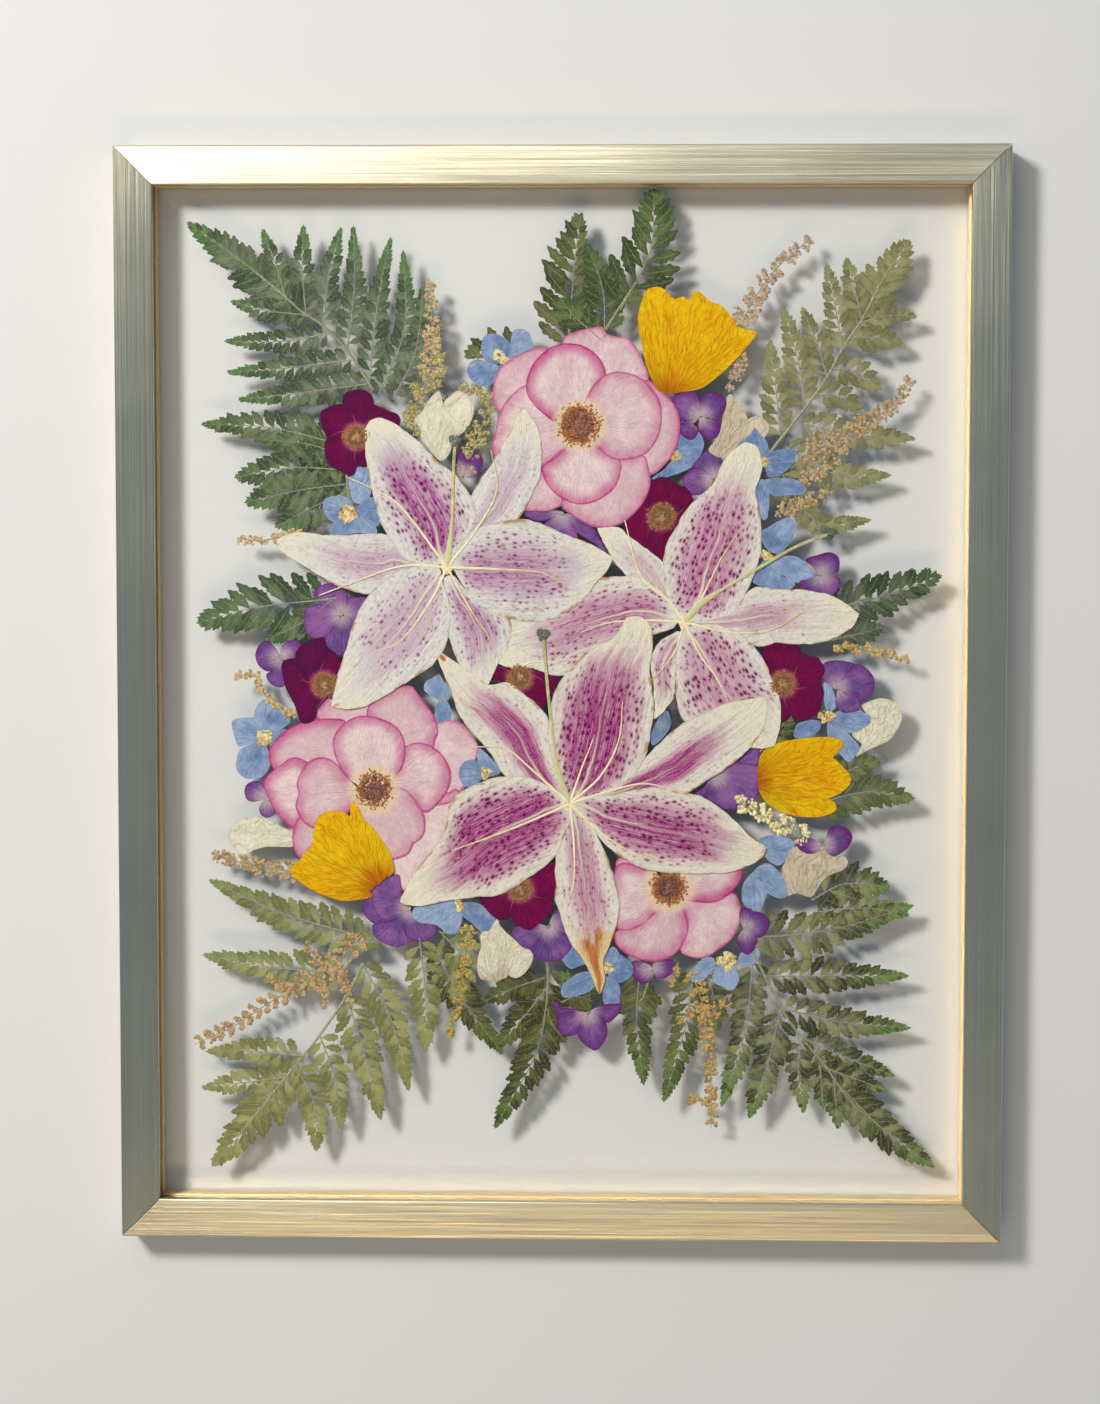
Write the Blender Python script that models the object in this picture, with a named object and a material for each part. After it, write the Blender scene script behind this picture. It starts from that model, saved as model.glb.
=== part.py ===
"""Pressed flower frame: dried flowers and ferns between two panes in a mitred metal frame.

The frame lies flat on its back. +X is the picture's right, +Y its top and +Z faces the viewer.
The origin is below the frame's centre, level with the backs of the rails.
"""
import bmesh
import bpy
import numpy as np
from mathutils import Matrix, Vector
from mathutils.geometry import delaunay_2d_cdt

MM = 0.001

# The frame.
OPENING_WIDTH = 394 * MM
OPENING_HEIGHT = 495 * MM
FACE_WIDTH = 19 * MM
FRAME_DEPTH = 22 * MM
LIP_THICKNESS = 3.5 * MM
RABBET_WIDTH = 7.7 * MM
ARRIS_RADIUS = 0.9 * MM
ARRIS_STEPS = 3
GLASS_WIDTH = 406 * MM
GLASS_HEIGHT = 508 * MM
GLASS_THICKNESS = 2 * MM
CAVITY_DEPTH = 3.4 * MM
STRIP_WIDTH = 7.4 * MM
STRIP_BACK = 1 * MM
GAP = 0.3 * MM

# The pressed specimens lie in layers between the panes.
SHEET_THICKNESS = 0.12 * MM
LAYER_PITCH = SHEET_THICKNESS + GAP
FRONT_PANE_BACK = FRAME_DEPTH - LIP_THICKNESS - GAP - GLASS_THICKNESS
BACK_PANE_FRONT = FRONT_PANE_BACK - CAVITY_DEPTH
WELD_DISTANCE = 0.001 * MM
SMALLEST_STEP = 0.06 * MM

# Where the opening's corners were read in the photograph, in pixels: every (x, y) pair below
# is such a reading. The view point is given over the frame's front face.
CORNER_READINGS = ((150.9, 186.6), (973.7, 183.2), (963.6, 1205.8), (158.1, 1196.6))
VIEW_FOOT = (30 * MM, 97 * MM)
VIEW_DISTANCE = 1467 * MM
SPECIMEN_DEPTH = 7.5 * MM

# Fern leaves: the stem from its tip, then each frond from its base to its tip with its width.
FERNS = {
    "fern_upper_left": (
        0,
        [(188, 225), (240, 262), (276, 290), (300, 312), (320, 325), (345, 350), (372, 390)],
        [
            (14, (272, 288), (188, 225)),
            (7, (250, 270), (262, 230)),
            (7, (262, 280), (277, 246)),
            (11, (275, 290), (222, 278)),
            (12, (288, 302), (226, 301)),
            (12, (312, 320), (263, 312)),
            (15, (330, 336), (226, 342)),
            (18, (354, 362), (290, 368), (229, 373)),
            (16, (370, 386), (320, 396), (262, 402)),
            (15, (301, 315), (302, 228)),
            (13, (322, 326), (327, 270), (339, 231)),
            (14, (346, 350), (353, 290), (352, 230)),
            (16, (368, 383), (381, 300), (389, 241)),
            (16, (376, 394), (407, 330), (402, 254)),
        ],
    ),
    "fern_left_upper": (
        1,
        [(204, 425), (255, 430), (320, 440), (340, 470), (348, 500)],
        [
            (15, (330, 444), (255, 430), (204, 425)),
            (20, (340, 470), (290, 468), (237, 476)),
            (18, (344, 480), (295, 492), (246, 502)),
            (16, (346, 490), (310, 510), (277, 524)),
        ],
    ),
    "fern_left_middle": (
        0,
        [(198, 620), (250, 608), (310, 600), (335, 598)],
        [
            (12, (300, 602), (250, 609), (198, 620)),
            (6, (272, 605), (249, 578)),
            (7, (285, 603), (262, 563)),
            (7, (303, 601), (287, 560)),
            (6, (270, 606), (249, 631)),
            (6, (288, 603), (270, 645)),
            (7, (305, 601), (300, 637)),
        ],
    ),
    "fern_top_left": (
        0,
        [(580, 217), (575, 250), (569, 310), (568, 345)],
        [
            (14, (571, 300), (575, 250), (580, 217)),
            (6, (571, 295), (549, 274)),
            (6, (570, 310), (537, 290)),
            (6, (569, 322), (531, 303)),
            (7, (568, 335), (521, 317)),
            (6, (570, 315), (590, 298)),
            (6, (569, 330), (594, 318)),
        ],
    ),
    "fern_top_right": (
        1,
        [(652, 193), (660, 215), (645, 260), (630, 290), (605, 330)],
        [
            (12, (650, 247), (659, 215), (652, 193)),
            (6, (648, 252), (622, 234)),
            (6, (643, 264), (602, 243)),
            (6, (650, 248), (676, 243)),
            (6, (645, 260), (674, 256)),
            (7, (637, 277), (681, 276)),
            (7, (630, 290), (683, 297)),
            (13, (606, 326), (600, 290), (590, 251)),
        ],
    ),
    "fern_upper_right": (
        0,
        [(908, 243), (895, 260), (880, 285), (862, 320), (845, 345), (820, 388), (770, 450)],
        [
            (22, (864, 317), (886, 276), (908, 243)),
            (9, (862, 320), (854, 292), (847, 266)),
            (13, (843, 349), (836, 310), (827, 268)),
            (12, (827, 376), (818, 345), (805, 313)),
            (14, (805, 407), (798, 360), (784, 312)),
            (15, (781, 437), (776, 390), (772, 343)),
            (10, (860, 323), (915, 318)),
            (11, (850, 338), (899, 342)),
            (14, (832, 368), (877, 385)),
            (12, (815, 395), (845, 406)),
            (14, (792, 423), (850, 434), (912, 438)),
            (14, (775, 444), (835, 476), (889, 475)),
            (12, (771, 449), (805, 514), (869, 520)),
        ],
    ),
    "fern_right_middle": (
        0,
        [(939, 577), (900, 592), (870, 597), (835, 610)],
        [
            (14, (860, 600), (900, 590), (939, 577)),
            (6, (856, 602), (865, 572)),
            (6, (845, 606), (852, 570)),
            (8, (845, 606), (897, 603)),
            (8, (840, 608), (881, 626)),
        ],
    ),
    "fern_right_lower": (
        0,
        [(912, 798), (880, 790), (830, 800), (805, 803)],
        [
            (16, (840, 798), (880, 791), (912, 798)),
            (6, (845, 797), (873, 774)),
            (7, (842, 799), (858, 822)),
        ],
    ),
    "fern_lower_right": (
        0,
        [(934, 1166), (885, 1130), (850, 1100), (825, 1065), (800, 1035), (780, 1005), (745, 935)],
        [
            (20, (848, 1097), (885, 1130), (934, 1166)),
            (19, (748, 938), (830, 930), (912, 906)),
            (18, (815, 885), (905, 912)),
            (18, (764, 976), (830, 983), (906, 976)),
            (16, (782, 1008), (840, 1022), (908, 1028)),
            (14, (804, 1038), (840, 1055), (892, 1074)),
            (9, (829, 1072), (886, 1090)),
            (16, (760, 972), (741, 1035), (723, 1102)),
            (17, (780, 1004), (768, 1060), (750, 1115)),
            (12, (804, 1038), (803, 1108)),
            (11, (826, 1066), (838, 1124)),
        ],
    ),
    "fern_lower_left": (
        0,
        [(218, 1163), (240, 1130), (262, 1103), (300, 1057), (319, 1033), (345, 995), (362, 962)],
        [
            (24, (268, 1095), (240, 1128), (216, 1163)),
            (11, (264, 1100), (203, 1112)),
            (13, (284, 1076), (203, 1086)),
            (15, (302, 1055), (250, 1050), (207, 1050)),
            (12, (263, 1104), (254, 1160)),
            (6, (272, 1092), (279, 1119)),
            (17, (294, 1065), (312, 1100), (315, 1145)),
            (15, (318, 1034), (333, 1075), (340, 1123)),
            (19, (345, 995), (364, 1055), (378, 1114)),
            (16, (361, 962), (390, 1020), (406, 1085)),
            (2, (360, 965), (395, 940), (422, 935)),
            (16, (412, 937), (422, 990), (424, 1047)),
        ],
    ),
    "fern_left_lower": (
        1,
        [(365, 933), (352, 955), (338, 975)],
        [
            (20, (362, 936), (280, 912), (211, 881)),
            (19, (342, 970), (270, 966), (205, 955)),
        ],
    ),
    "fern_bottom": (
        0,
        [(496, 1123), (518, 1085), (530, 1060), (542, 1025), (547, 990), (546, 955)],
        [
            (24, (540, 1030), (525, 1070), (496, 1123)),
            (12, (541, 1028), (500, 1040)),
            (12, (546, 1000), (500, 1012)),
            (12, (541, 1030), (564, 1050)),
            (2, (546, 962), (500, 978), (460, 975)),
            (16, (466, 976), (476, 1010), (497, 1050)),
        ],
    ),
    "fern_bottom_right": (
        0,
        [(642, 1080), (637, 1036), (642, 1000), (652, 968)],
        [
            (20, (648, 972), (637, 1030), (642, 1080)),
            (3, (650, 974), (672, 966), (701, 975)),
            (17, (699, 974), (688, 1020), (665, 1097)),
        ],
    ),
}

# Lilies: the layer, the heart, then each tepal's width, middle and tip, then the pistil from
# the heart outwards.
LILIES = {
    "lily_left": (
        5,
        (446, 563),
        [
            (46, (414, 484), (370, 418)),
            (27, (511, 488), (520, 410)),
            (41, (530, 565), (608, 560)),
            (27, (474, 625), (487, 680)),
            (44, (395, 628), (332, 703)),
            (32, (360, 561), (276, 541)),
        ],
        [(446, 563), (452, 500), (454, 441)],
    ),
    "lily_right": (
        4,
        (683, 623),
        [
            (45, (716, 535), (750, 441)),
            (24, (635, 572), (600, 525)),
            (41, (590, 622), (490, 650)),
            (22, (665, 672), (655, 720)),
            (46, (728, 685), (772, 742)),
            (26, (775, 613), (861, 615)),
        ],
        [(683, 623), (710, 597), (750, 568), (790, 548), (830, 532)],
    ),
    "lily_front": (
        6,
        (569, 803),
        [
            (38, (500, 722), (434, 650)),
            (47, (602, 705), (640, 617)),
            (36, (680, 752), (766, 694)),
            (36, (675, 830), (764, 848)),
            (30, (586, 905), (600, 995)),
            (50, (490, 845), (399, 900)),
        ],
        [(569, 803), (558, 770), (548, 700), (541, 630)],
    ),
}
PISTIL_WIDTH = 2.2 * MM

# Flowers with round petals: the layer, then the middle and half sizes of each petal.
PINK_ROSES = {
    "rose_pink_top": (
        3,
        [
            (17, 21, (528, 392)),
            (21, 16, (604, 358)),
            (19, 19, (567, 382)),
            (19, 21, (620, 416)),
            (15, 24, (650, 424)),
            (19, 22, (628, 482)),
            (20, 17, (580, 474)),
            (13, 16, (548, 480)),
        ],
    ),
    "rose_pink_left": (
        2,
        [
            (18, 21, (306, 758)),
            (17, 17, (302, 800)),
            (18, 21, (368, 757)),
            (18, 20, (405, 722)),
            (17, 17, (417, 778)),
            (14, 17, (400, 823)),
            (19, 18, (345, 822)),
            (14, 20, (452, 762)),
        ],
    ),
    "rose_pink_right": (
        3,
        [
            (14, 15, (640, 898)),
            (19, 16, (652, 930)),
            (15, 16, (711, 926)),
            (16, 12, (709, 886)),
            (12, 11, (668, 876)),
        ],
    ),
}

BURGUNDY_ROSES = {
    "rose_burgundy_upper_left": (
        3,
        [(11, 11, (342, 412)), (12, 11, (375, 415)), (11, 11, (372, 445)), (12, 12, (345, 450))],
    ),
    "rose_burgundy_top": (
        2,
        [(12, 13, (644, 510)), (11, 11, (664, 498)), (11, 12, (670, 525)), (11, 11, (650, 538))],
    ),
    "rose_burgundy_right": (
        3,
        [(11, 12, (780, 660)), (12, 12, (801, 676)), (11, 11, (790, 700)), (10, 12, (777, 690))],
    ),
    "rose_burgundy_bottom": (
        3,
        [(11, 11, (503, 890)), (12, 12, (535, 885)), (12, 10, (530, 908)), (12, 8, (520, 915))],
    ),
    "rose_burgundy_left": (
        3,
        [(11, 12, (304, 672)), (11, 11, (316, 658)), (10, 11, (318, 690)), (12, 10, (305, 698))],
    ),
    "rose_burgundy_middle": (
        3,
        [(11, 9, (507, 668)), (13, 10, (530, 678)), (12, 8, (522, 692))],
    ),
}

BLUE_FLOWERS = {
    "blue_top": (
        1,
        [(7, 7, (508, 344)), (8, 6, (483, 358)), (8, 7, (500, 374)), (7, 7, (517, 358))],
    ),
    "blue_upper_left": (
        2,
        [(8, 8, (344, 486)), (7, 7, (333, 506)), (8, 8, (345, 518)), (8, 8, (360, 502))],
    ),
    "blue_left": (
        1,
        [(9, 7, (272, 714)), (7, 8, (244, 733)), (9, 8, (251, 760)), (6, 8, (261, 733))],
    ),
    "blue_upper_right": (
        2,
        [(8, 8, (757, 452)), (8, 7, (780, 464)), (9, 6, (783, 487)), (6, 9, (761, 500)),
         (7, 7, (763, 476))],
    ),
    "blue_right": (
        1,
        [(8, 9, (779, 536)), (10, 7, (770, 571)), (8, 7, (793, 566)), (6, 6, (781, 553))],
    ),
    "blue_lower_right": (
        1,
        [(9, 7, (853, 719)), (8, 8, (845, 747)), (6, 9, (830, 699)), (8, 6, (807, 731)),
         (8, 7, (831, 727))],
    ),
    "blue_bottom": (
        2,
        [(8, 7, (576, 983)), (6, 7, (572, 958)), (6, 9, (620, 967)), (6, 8, (611, 996)),
         (9, 8, (594, 975))],
    ),
}

HYDRANGEAS = {
    "hydrangea_top": (
        2,
        [(7, 7, (689, 408)), (7, 7, (711, 406)), (7, 7, (712, 425)), (7, 6, (691, 426))],
    ),
    "hydrangea_left": (
        1,
        [(9, 10, (318, 604)), (10, 9, (346, 598)), (9, 9, (350, 626)), (9, 9, (322, 634))],
    ),
    "hydrangea_right": (
        2,
        [(8, 7, (837, 673)), (9, 7, (858, 680)), (8, 7, (846, 697))],
    ),
    "hydrangea_lower_right": (
        1,
        [(11, 10, (722, 778)), (10, 10, (742, 768)), (9, 8, (738, 794)), (8, 7, (716, 797))],
    ),
    "hydrangea_lower_left": (
        1,
        [(11, 12, (388, 896)), (10, 10, (412, 892)), (11, 11, (413, 918)), (11, 11, (390, 924))],
    ),
    "hydrangea_bottom": (
        3,
        [(9, 8, (575, 1018)), (8, 8, (597, 1020)), (9, 8, (586, 1032))],
    ),
}

WHITE_FLOWERS = {
    "white_top": (
        2,
        [(8, 13, (431, 418)), (9, 12, (448, 430)), (8, 12, (460, 414))],
    ),
    "white_right": (
        0,
        [(9, 12, (880, 720)), (10, 12, (874, 740))],
    ),
    "white_bottom": (
        4,
        [(8, 13, (494, 945)), (8, 13, (510, 950)), (9, 11, (515, 960))],
    ),
}

# Cup flowers in side view: the layer, then their outline.
CUP_FLOWERS = {
    "cup_yellow_top": (
        4,
        [(645, 290), (658, 287), (675, 300), (696, 292), (705, 302), (722, 305), (735, 327),
         (757, 332), (738, 362), (700, 390), (680, 394), (660, 392), (645, 360), (638, 335),
         (638, 310)],
    ),
    "cup_yellow_right": (
        3,
        [(760, 775), (770, 752), (790, 740), (815, 742), (838, 738), (843, 745), (832, 757),
         (848, 765), (853, 778), (830, 800), (838, 808), (830, 815), (800, 816), (775, 808),
         (762, 795)],
    ),
    "cup_orange_left": (
        4,
        [(290, 868), (298, 845), (315, 825), (325, 812), (350, 812), (348, 800), (362, 818),
         (378, 835), (388, 850), (393, 872), (370, 895), (345, 900), (318, 893), (300, 882)],
    ),
}

# Flower sprigs: the layer, then each branch as its two end widths and its path from the tip.
SPRIGS = {
    "sprig_upper_left": (
        1,
        [(3, 16, (428, 279), (431, 330), (426, 385), (416, 432))],
    ),
    "sprig_upper_right": (
        0,
        [(3, 15, (813, 237), (783, 262), (760, 290), (743, 320), (732, 345))],
    ),
    "sprig_right": (
        1,
        [
            (3, 14, (913, 377), (893, 405), (850, 432), (800, 458)),
            (5, 10, (827, 488), (802, 455)),
        ],
    ),
    "sprig_lower_left": (
        2,
        [
            (4, 14, (193, 1043), (235, 1023), (270, 1000), (330, 965), (360, 935)),
            (4, 8, (265, 975), (290, 990)),
            (4, 8, (305, 942), (322, 970)),
            (4, 8, (325, 1008), (318, 972)),
            (4, 8, (352, 1005), (335, 962)),
        ],
    ),
    "sprig_bottom": (
        1,
        [
            (3, 10, (711, 1128), (711, 1090), (706, 1020), (692, 972)),
            (4, 10, (727, 1000), (705, 1017)),
            (4, 8, (680, 1020), (702, 1005)),
            (5, 6, (690, 1098), (709, 1103)),
        ],
    ),
    "sprig_cream": (
        2,
        [(9, 13, (737, 804), (770, 817), (806, 835))],
    ),
}

# Material name, colour, metallic and roughness.
LOOKS = {
    "rail": ("champagne_metal", (0.62, 0.55, 0.38), 1.0, 0.3),
    "strip": ("gold_strip", (0.62, 0.45, 0.2), 1.0, 0.35),
    "pane": ("clear_glass", (0.9, 0.95, 0.93), 0.0, 0.03),
    "fern": ("fern_green", (0.09, 0.14, 0.06), 0.0, 0.8),
    "lily": ("lily_pink", (0.62, 0.35, 0.5), 0.0, 0.75),
    "pink": ("rose_pink", (0.75, 0.5, 0.58), 0.0, 0.75),
    "burgundy": ("rose_burgundy", (0.15, 0.01, 0.06), 0.0, 0.7),
    "cup": ("cup_yellow", (0.9, 0.45, 0.02), 0.0, 0.7),
    "blue": ("floret_blue", (0.2, 0.33, 0.6), 0.0, 0.75),
    "hydrangea": ("floret_purple", (0.25, 0.1, 0.35), 0.0, 0.75),
    "white": ("petal_cream", (0.75, 0.7, 0.58), 0.0, 0.8),
    "sprig": ("sprig_tan", (0.4, 0.28, 0.12), 0.0, 0.85),
}


def clear_scene():
    """Remove every object, so that the model starts from nothing."""
    for item in list(bpy.data.objects):
        bpy.data.objects.remove(item)


def make_material(look):
    """Return the material of one kind of piece, made once."""
    name, colour, metallic, roughness = LOOKS[look]
    material = bpy.data.materials.get(name)
    if material is None:
        material = bpy.data.materials.new(name)
        material.use_nodes = True
        surface = material.node_tree.nodes["Principled BSDF"]
        surface.inputs["Base Color"].default_value = (*colour, 1)
        surface.inputs["Metallic"].default_value = metallic
        surface.inputs["Roughness"].default_value = roughness
        if look == "pane":
            surface.inputs["Transmission Weight"].default_value = 1
    return material


def add_piece(name, mesh, look, collection):
    """Put one mesh in the scene as a named piece."""
    piece = bpy.data.objects.new(name, mesh)
    mesh.materials.clear()
    mesh.materials.append(make_material(look))
    collection.objects.link(piece)
    return piece


def extruded_mesh(name, loops, thickness):
    """Return a flat outline of closed loops, filled and extruded both ways from z = 0."""
    curve = bpy.data.curves.new(name, "CURVE")
    curve.dimensions = "2D"
    curve.fill_mode = "BOTH"
    curve.extrude = thickness / 2
    for loop in loops:
        spline = curve.splines.new("POLY")
        spline.points.add(len(loop) - 1)
        for point, (x, y) in zip(spline.points, loop):
            point.co = (x, y, 0, 1)
        spline.use_cyclic_u = True
    outline = bpy.data.objects.new(name, curve)
    bpy.context.scene.collection.objects.link(outline)
    depsgraph = bpy.context.evaluated_depsgraph_get()
    mesh = bpy.data.meshes.new_from_object(outline.evaluated_get(depsgraph))
    bpy.data.objects.remove(outline)
    bpy.data.curves.remove(curve)
    shell = bmesh.new()
    shell.from_mesh(mesh)
    bmesh.ops.remove_doubles(shell, verts=shell.verts, dist=WELD_DISTANCE)
    bmesh.ops.recalc_face_normals(shell, faces=shell.faces)
    shell.to_mesh(mesh)
    shell.free()
    return mesh


# Frame.

def rail_section():
    """Return the rail's section as (inward distance from the outer wall, height) points.

    It is a block with a lip over the glass; both front arrises are rounded.
    """
    outer_arris = [
        (ARRIS_RADIUS * (1 - np.cos(angle)), FRAME_DEPTH - ARRIS_RADIUS * (1 - np.sin(angle)))
        for angle in np.linspace(0, np.pi / 2, ARRIS_STEPS + 1)
    ]
    inner_arris = [(FACE_WIDTH - inward, height) for inward, height in reversed(outer_arris)]
    lip_back = FRAME_DEPTH - LIP_THICKNESS
    rabbet_side = FACE_WIDTH - RABBET_WIDTH
    return [
        (0, 0),
        *outer_arris,
        *inner_arris,
        (FACE_WIDTH, lip_back),
        (rabbet_side, lip_back),
        (rabbet_side, 0),
    ]


def mitred_bar(name, section, outer_length, turn, outer_offset, look, collection):
    """Add a bar of one section with 45 degree ends, lying at outer_offset from the middle.

    The bar is first the frame's bottom side and is then turned about the frame's middle.
    """
    mesh = extruded_mesh(name, [section], outer_length)
    for vertex in mesh.vertices:
        inward, height, along = vertex.co
        end = 1 if along > 0 else -1
        vertex.co = (along - end * inward, inward - outer_offset, height)
    shell = bmesh.new()
    shell.from_mesh(mesh)
    bmesh.ops.recalc_face_normals(shell, faces=shell.faces)
    shell.to_mesh(mesh)
    shell.free()
    piece = add_piece(name, mesh, look, collection)
    piece.rotation_euler.z = turn
    return piece


def add_four_bars(kind, section, width, height, look, collection):
    """Add the four mitred bars of a rectangle; width and height are its outer sizes."""
    sides = (
        ("bottom", width, height / 2, 0.0),
        ("right", height, width / 2, np.pi / 2),
        ("top", width, height / 2, np.pi),
        ("left", height, width / 2, -np.pi / 2),
    )
    for side, length, offset, turn in sides:
        bar_length = length - GAP
        mitred_bar(f"{kind}_{side}", section, bar_length, turn, offset, look, collection)


def add_pane(name, bottom, collection):
    """Add one sheet of glass whose back face is at the given height."""
    bpy.ops.mesh.primitive_cube_add(size=1)
    piece = bpy.context.active_object
    piece.name = name
    piece.data.name = name
    piece.data.transform(Matrix.Diagonal((GLASS_WIDTH, GLASS_HEIGHT, GLASS_THICKNESS, 1)))
    piece.location.z = bottom + GLASS_THICKNESS / 2
    piece.data.materials.append(make_material("pane"))
    for home in list(piece.users_collection):
        home.objects.unlink(piece)
    collection.objects.link(piece)


def add_frame(collection):
    """Add the rails, the two panes and the strips that hold them in."""
    outer_width = OPENING_WIDTH + 2 * FACE_WIDTH
    outer_height = OPENING_HEIGHT + 2 * FACE_WIDTH
    add_four_bars("rail", rail_section(), outer_width, outer_height, "rail", collection)
    add_pane("glass_front", FRONT_PANE_BACK, collection)
    back_pane_back = BACK_PANE_FRONT - GLASS_THICKNESS
    add_pane("glass_back", back_pane_back, collection)
    strip_front = back_pane_back - GAP
    strip_section = [
        (0, STRIP_BACK),
        (0, strip_front),
        (STRIP_WIDTH, strip_front),
        (STRIP_WIDTH, STRIP_BACK),
    ]
    strip_width = OPENING_WIDTH + 2 * STRIP_WIDTH
    strip_height = OPENING_HEIGHT + 2 * STRIP_WIDTH
    add_four_bars("strip", strip_section, strip_width, strip_height, "strip", collection)


# Flat shapes, as lists of (x, y) points.

def photo_map():
    """Return the 3 by 3 matrix that takes a corner reading to the opening's corner."""
    half_width = OPENING_WIDTH / 2
    half_height = OPENING_HEIGHT / 2
    corners = (
        (-half_width, half_height),
        (half_width, half_height),
        (half_width, -half_height),
        (-half_width, -half_height),
    )
    rows = []
    targets = []
    for (across, down), (x, y) in zip(CORNER_READINGS, corners):
        rows.append([across, down, 1, 0, 0, 0, -x * across, -x * down])
        rows.append([0, 0, 0, across, down, 1, -y * across, -y * down])
        targets += [x, y]
    return np.append(np.linalg.solve(rows, targets), 1).reshape(3, 3)


PHOTO_MAP = photo_map()


def place(reading):
    """Return a photo reading as (x, y) on the specimens' level, seen past the front face."""
    x, y, scale = PHOTO_MAP @ (*reading, 1)
    on_face = np.array((x, y)) / scale
    foot = np.array(VIEW_FOOT)
    return foot + (on_face - foot) * (1 + SPECIMEN_DEPTH / VIEW_DISTANCE)


def oval(middle, half_width, half_height, count=12):
    """Return an upright oval around a point."""
    x, y = middle
    turns = np.linspace(0, 2 * np.pi, count, endpoint=False)
    return [(x + half_width * np.cos(turn), y + half_height * np.sin(turn)) for turn in turns]


def along_path(path, shares, half_widths):
    """Return the outline around a path that has the given half width at each share of it."""
    path = np.array(path)
    steps = np.linalg.norm(np.diff(path, axis=0), axis=1)
    reach = np.append(0, np.cumsum(steps))
    stations = np.array(shares) * reach[-1]
    middle = np.stack([np.interp(stations, reach, path[:, axis]) for axis in (0, 1)], axis=1)
    ahead = np.gradient(middle, axis=0)
    ahead /= np.linalg.norm(ahead, axis=1)[:, None]
    sideways = np.stack([-ahead[:, 1], ahead[:, 0]], axis=1) * np.array(half_widths)[:, None]
    left = middle + sideways
    right = middle - sideways
    return [tuple(point) for point in (*left, *right[::-1])]


def blade(path, width):
    """Return a long leaf shape: narrow base, widest at a third, pointed tip."""
    shares = (0, 0.3, 0.68, 1)
    halves = np.array((0.12, 0.5, 0.36, 0.03)) * width
    return along_path(path, shares, halves)


def tepal(path, width):
    """Return a lily's tepal: narrow at the heart, widest at the middle, pointed tip."""
    shares = (0, 0.18, 0.4, 0.6, 0.8, 0.93, 1)
    halves = np.array((0.07, 0.3, 0.48, 0.5, 0.38, 0.19, 0.04)) * width
    return along_path(path, shares, halves)


def strand(path, tip_width, base_width):
    """Return a strip along a path, from its tip's width to its base's."""
    shares = np.linspace(0, 1, len(path) + 1)
    return along_path(path, shares, np.linspace(tip_width / 2, base_width / 2, len(shares)))


def without_tiny_steps(loop):
    """Drop the points of a loop that lie too close to the one before to matter."""
    kept = [loop[0]]
    for point in loop[1:]:
        if (point - kept[-1]).length > SMALLEST_STEP:
            kept.append(point)
    if (kept[0] - kept[-1]).length <= SMALLEST_STEP:
        kept.pop()
    return kept


def joined_loops(shapes):
    """Return the outline of overlapping shapes taken together, as closed loops."""
    points = []
    faces = []
    for shape in shapes:
        faces.append(list(range(len(points), len(points) + len(shape))))
        points += [Vector(point) for point in shape]
    inside_only = 1
    result = delaunay_2d_cdt(points, [], faces, inside_only, WELD_DISTANCE)
    corners, triangles = result[0], result[2]
    directed = {(face[i - 1], face[i]) for face in triangles for i in range(3)}
    border = {start: end for start, end in directed if (end, start) not in directed}
    loops = []
    while border:
        start = min(border)
        loop = [start]
        following = border.pop(start)
        while following != start:
            loop.append(following)
            following = border.pop(following)
        loops.append(without_tiny_steps([corners[index] for index in loop]))
    return [loop for loop in loops if len(loop) > 2]


def add_specimen(name, layer, shapes, look, collection):
    """Add one pressed specimen: overlapping flat shapes joined into one thin sheet."""
    piece = add_piece(name, extruded_mesh(name, joined_loops(shapes), SHEET_THICKNESS), look,
                      collection)
    piece.location.z = BACK_PANE_FRONT + GAP + layer * LAYER_PITCH + SHEET_THICKNESS / 2


# Specimens.

def add_ferns(collection):
    """Add the fern leaves: a stem with its fronds."""
    for name, (layer, stem, fronds) in FERNS.items():
        shapes = [strand([place(reading) for reading in stem], 0.8 * MM, 1.8 * MM)]
        for width, *path in fronds:
            shapes.append(blade([place(reading) for reading in path], width * MM))
        add_specimen(name, layer, shapes, "fern", collection)


def add_lilies(collection):
    """Add the lilies: six tepals round the heart, and the pistil."""
    for name, (layer, heart, tepals, pistil) in LILIES.items():
        shapes = []
        for width, *readings in tepals:
            path = [place(reading) for reading in (heart, *readings)]
            shapes.append(tepal(path, width * MM))
        shapes.append(strand([place(reading) for reading in pistil], PISTIL_WIDTH, PISTIL_WIDTH))
        add_specimen(name, layer, shapes, "lily", collection)


def add_round_flowers(flowers, look, collection):
    """Add the flowers whose petals are ovals that overlap at the heart."""
    for name, (layer, petals) in flowers.items():
        shapes = []
        for half_width, half_height, middle in petals:
            shapes.append(oval(place(middle), half_width * MM, half_height * MM))
        add_specimen(name, layer, shapes, look, collection)


def add_cup_flowers(collection):
    """Add the cup flowers, pressed sideways."""
    for name, (layer, outline) in CUP_FLOWERS.items():
        shape = [place(reading) for reading in outline]
        add_specimen(name, layer, [shape], "cup", collection)


def add_sprigs(collection):
    """Add the sprigs of tiny buds."""
    for name, (layer, branches) in SPRIGS.items():
        shapes = []
        for tip_width, base_width, *path in branches:
            readings = [place(reading) for reading in path]
            shapes.append(strand(readings, tip_width * MM, base_width * MM))
        add_specimen(name, layer, shapes, "sprig", collection)


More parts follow.
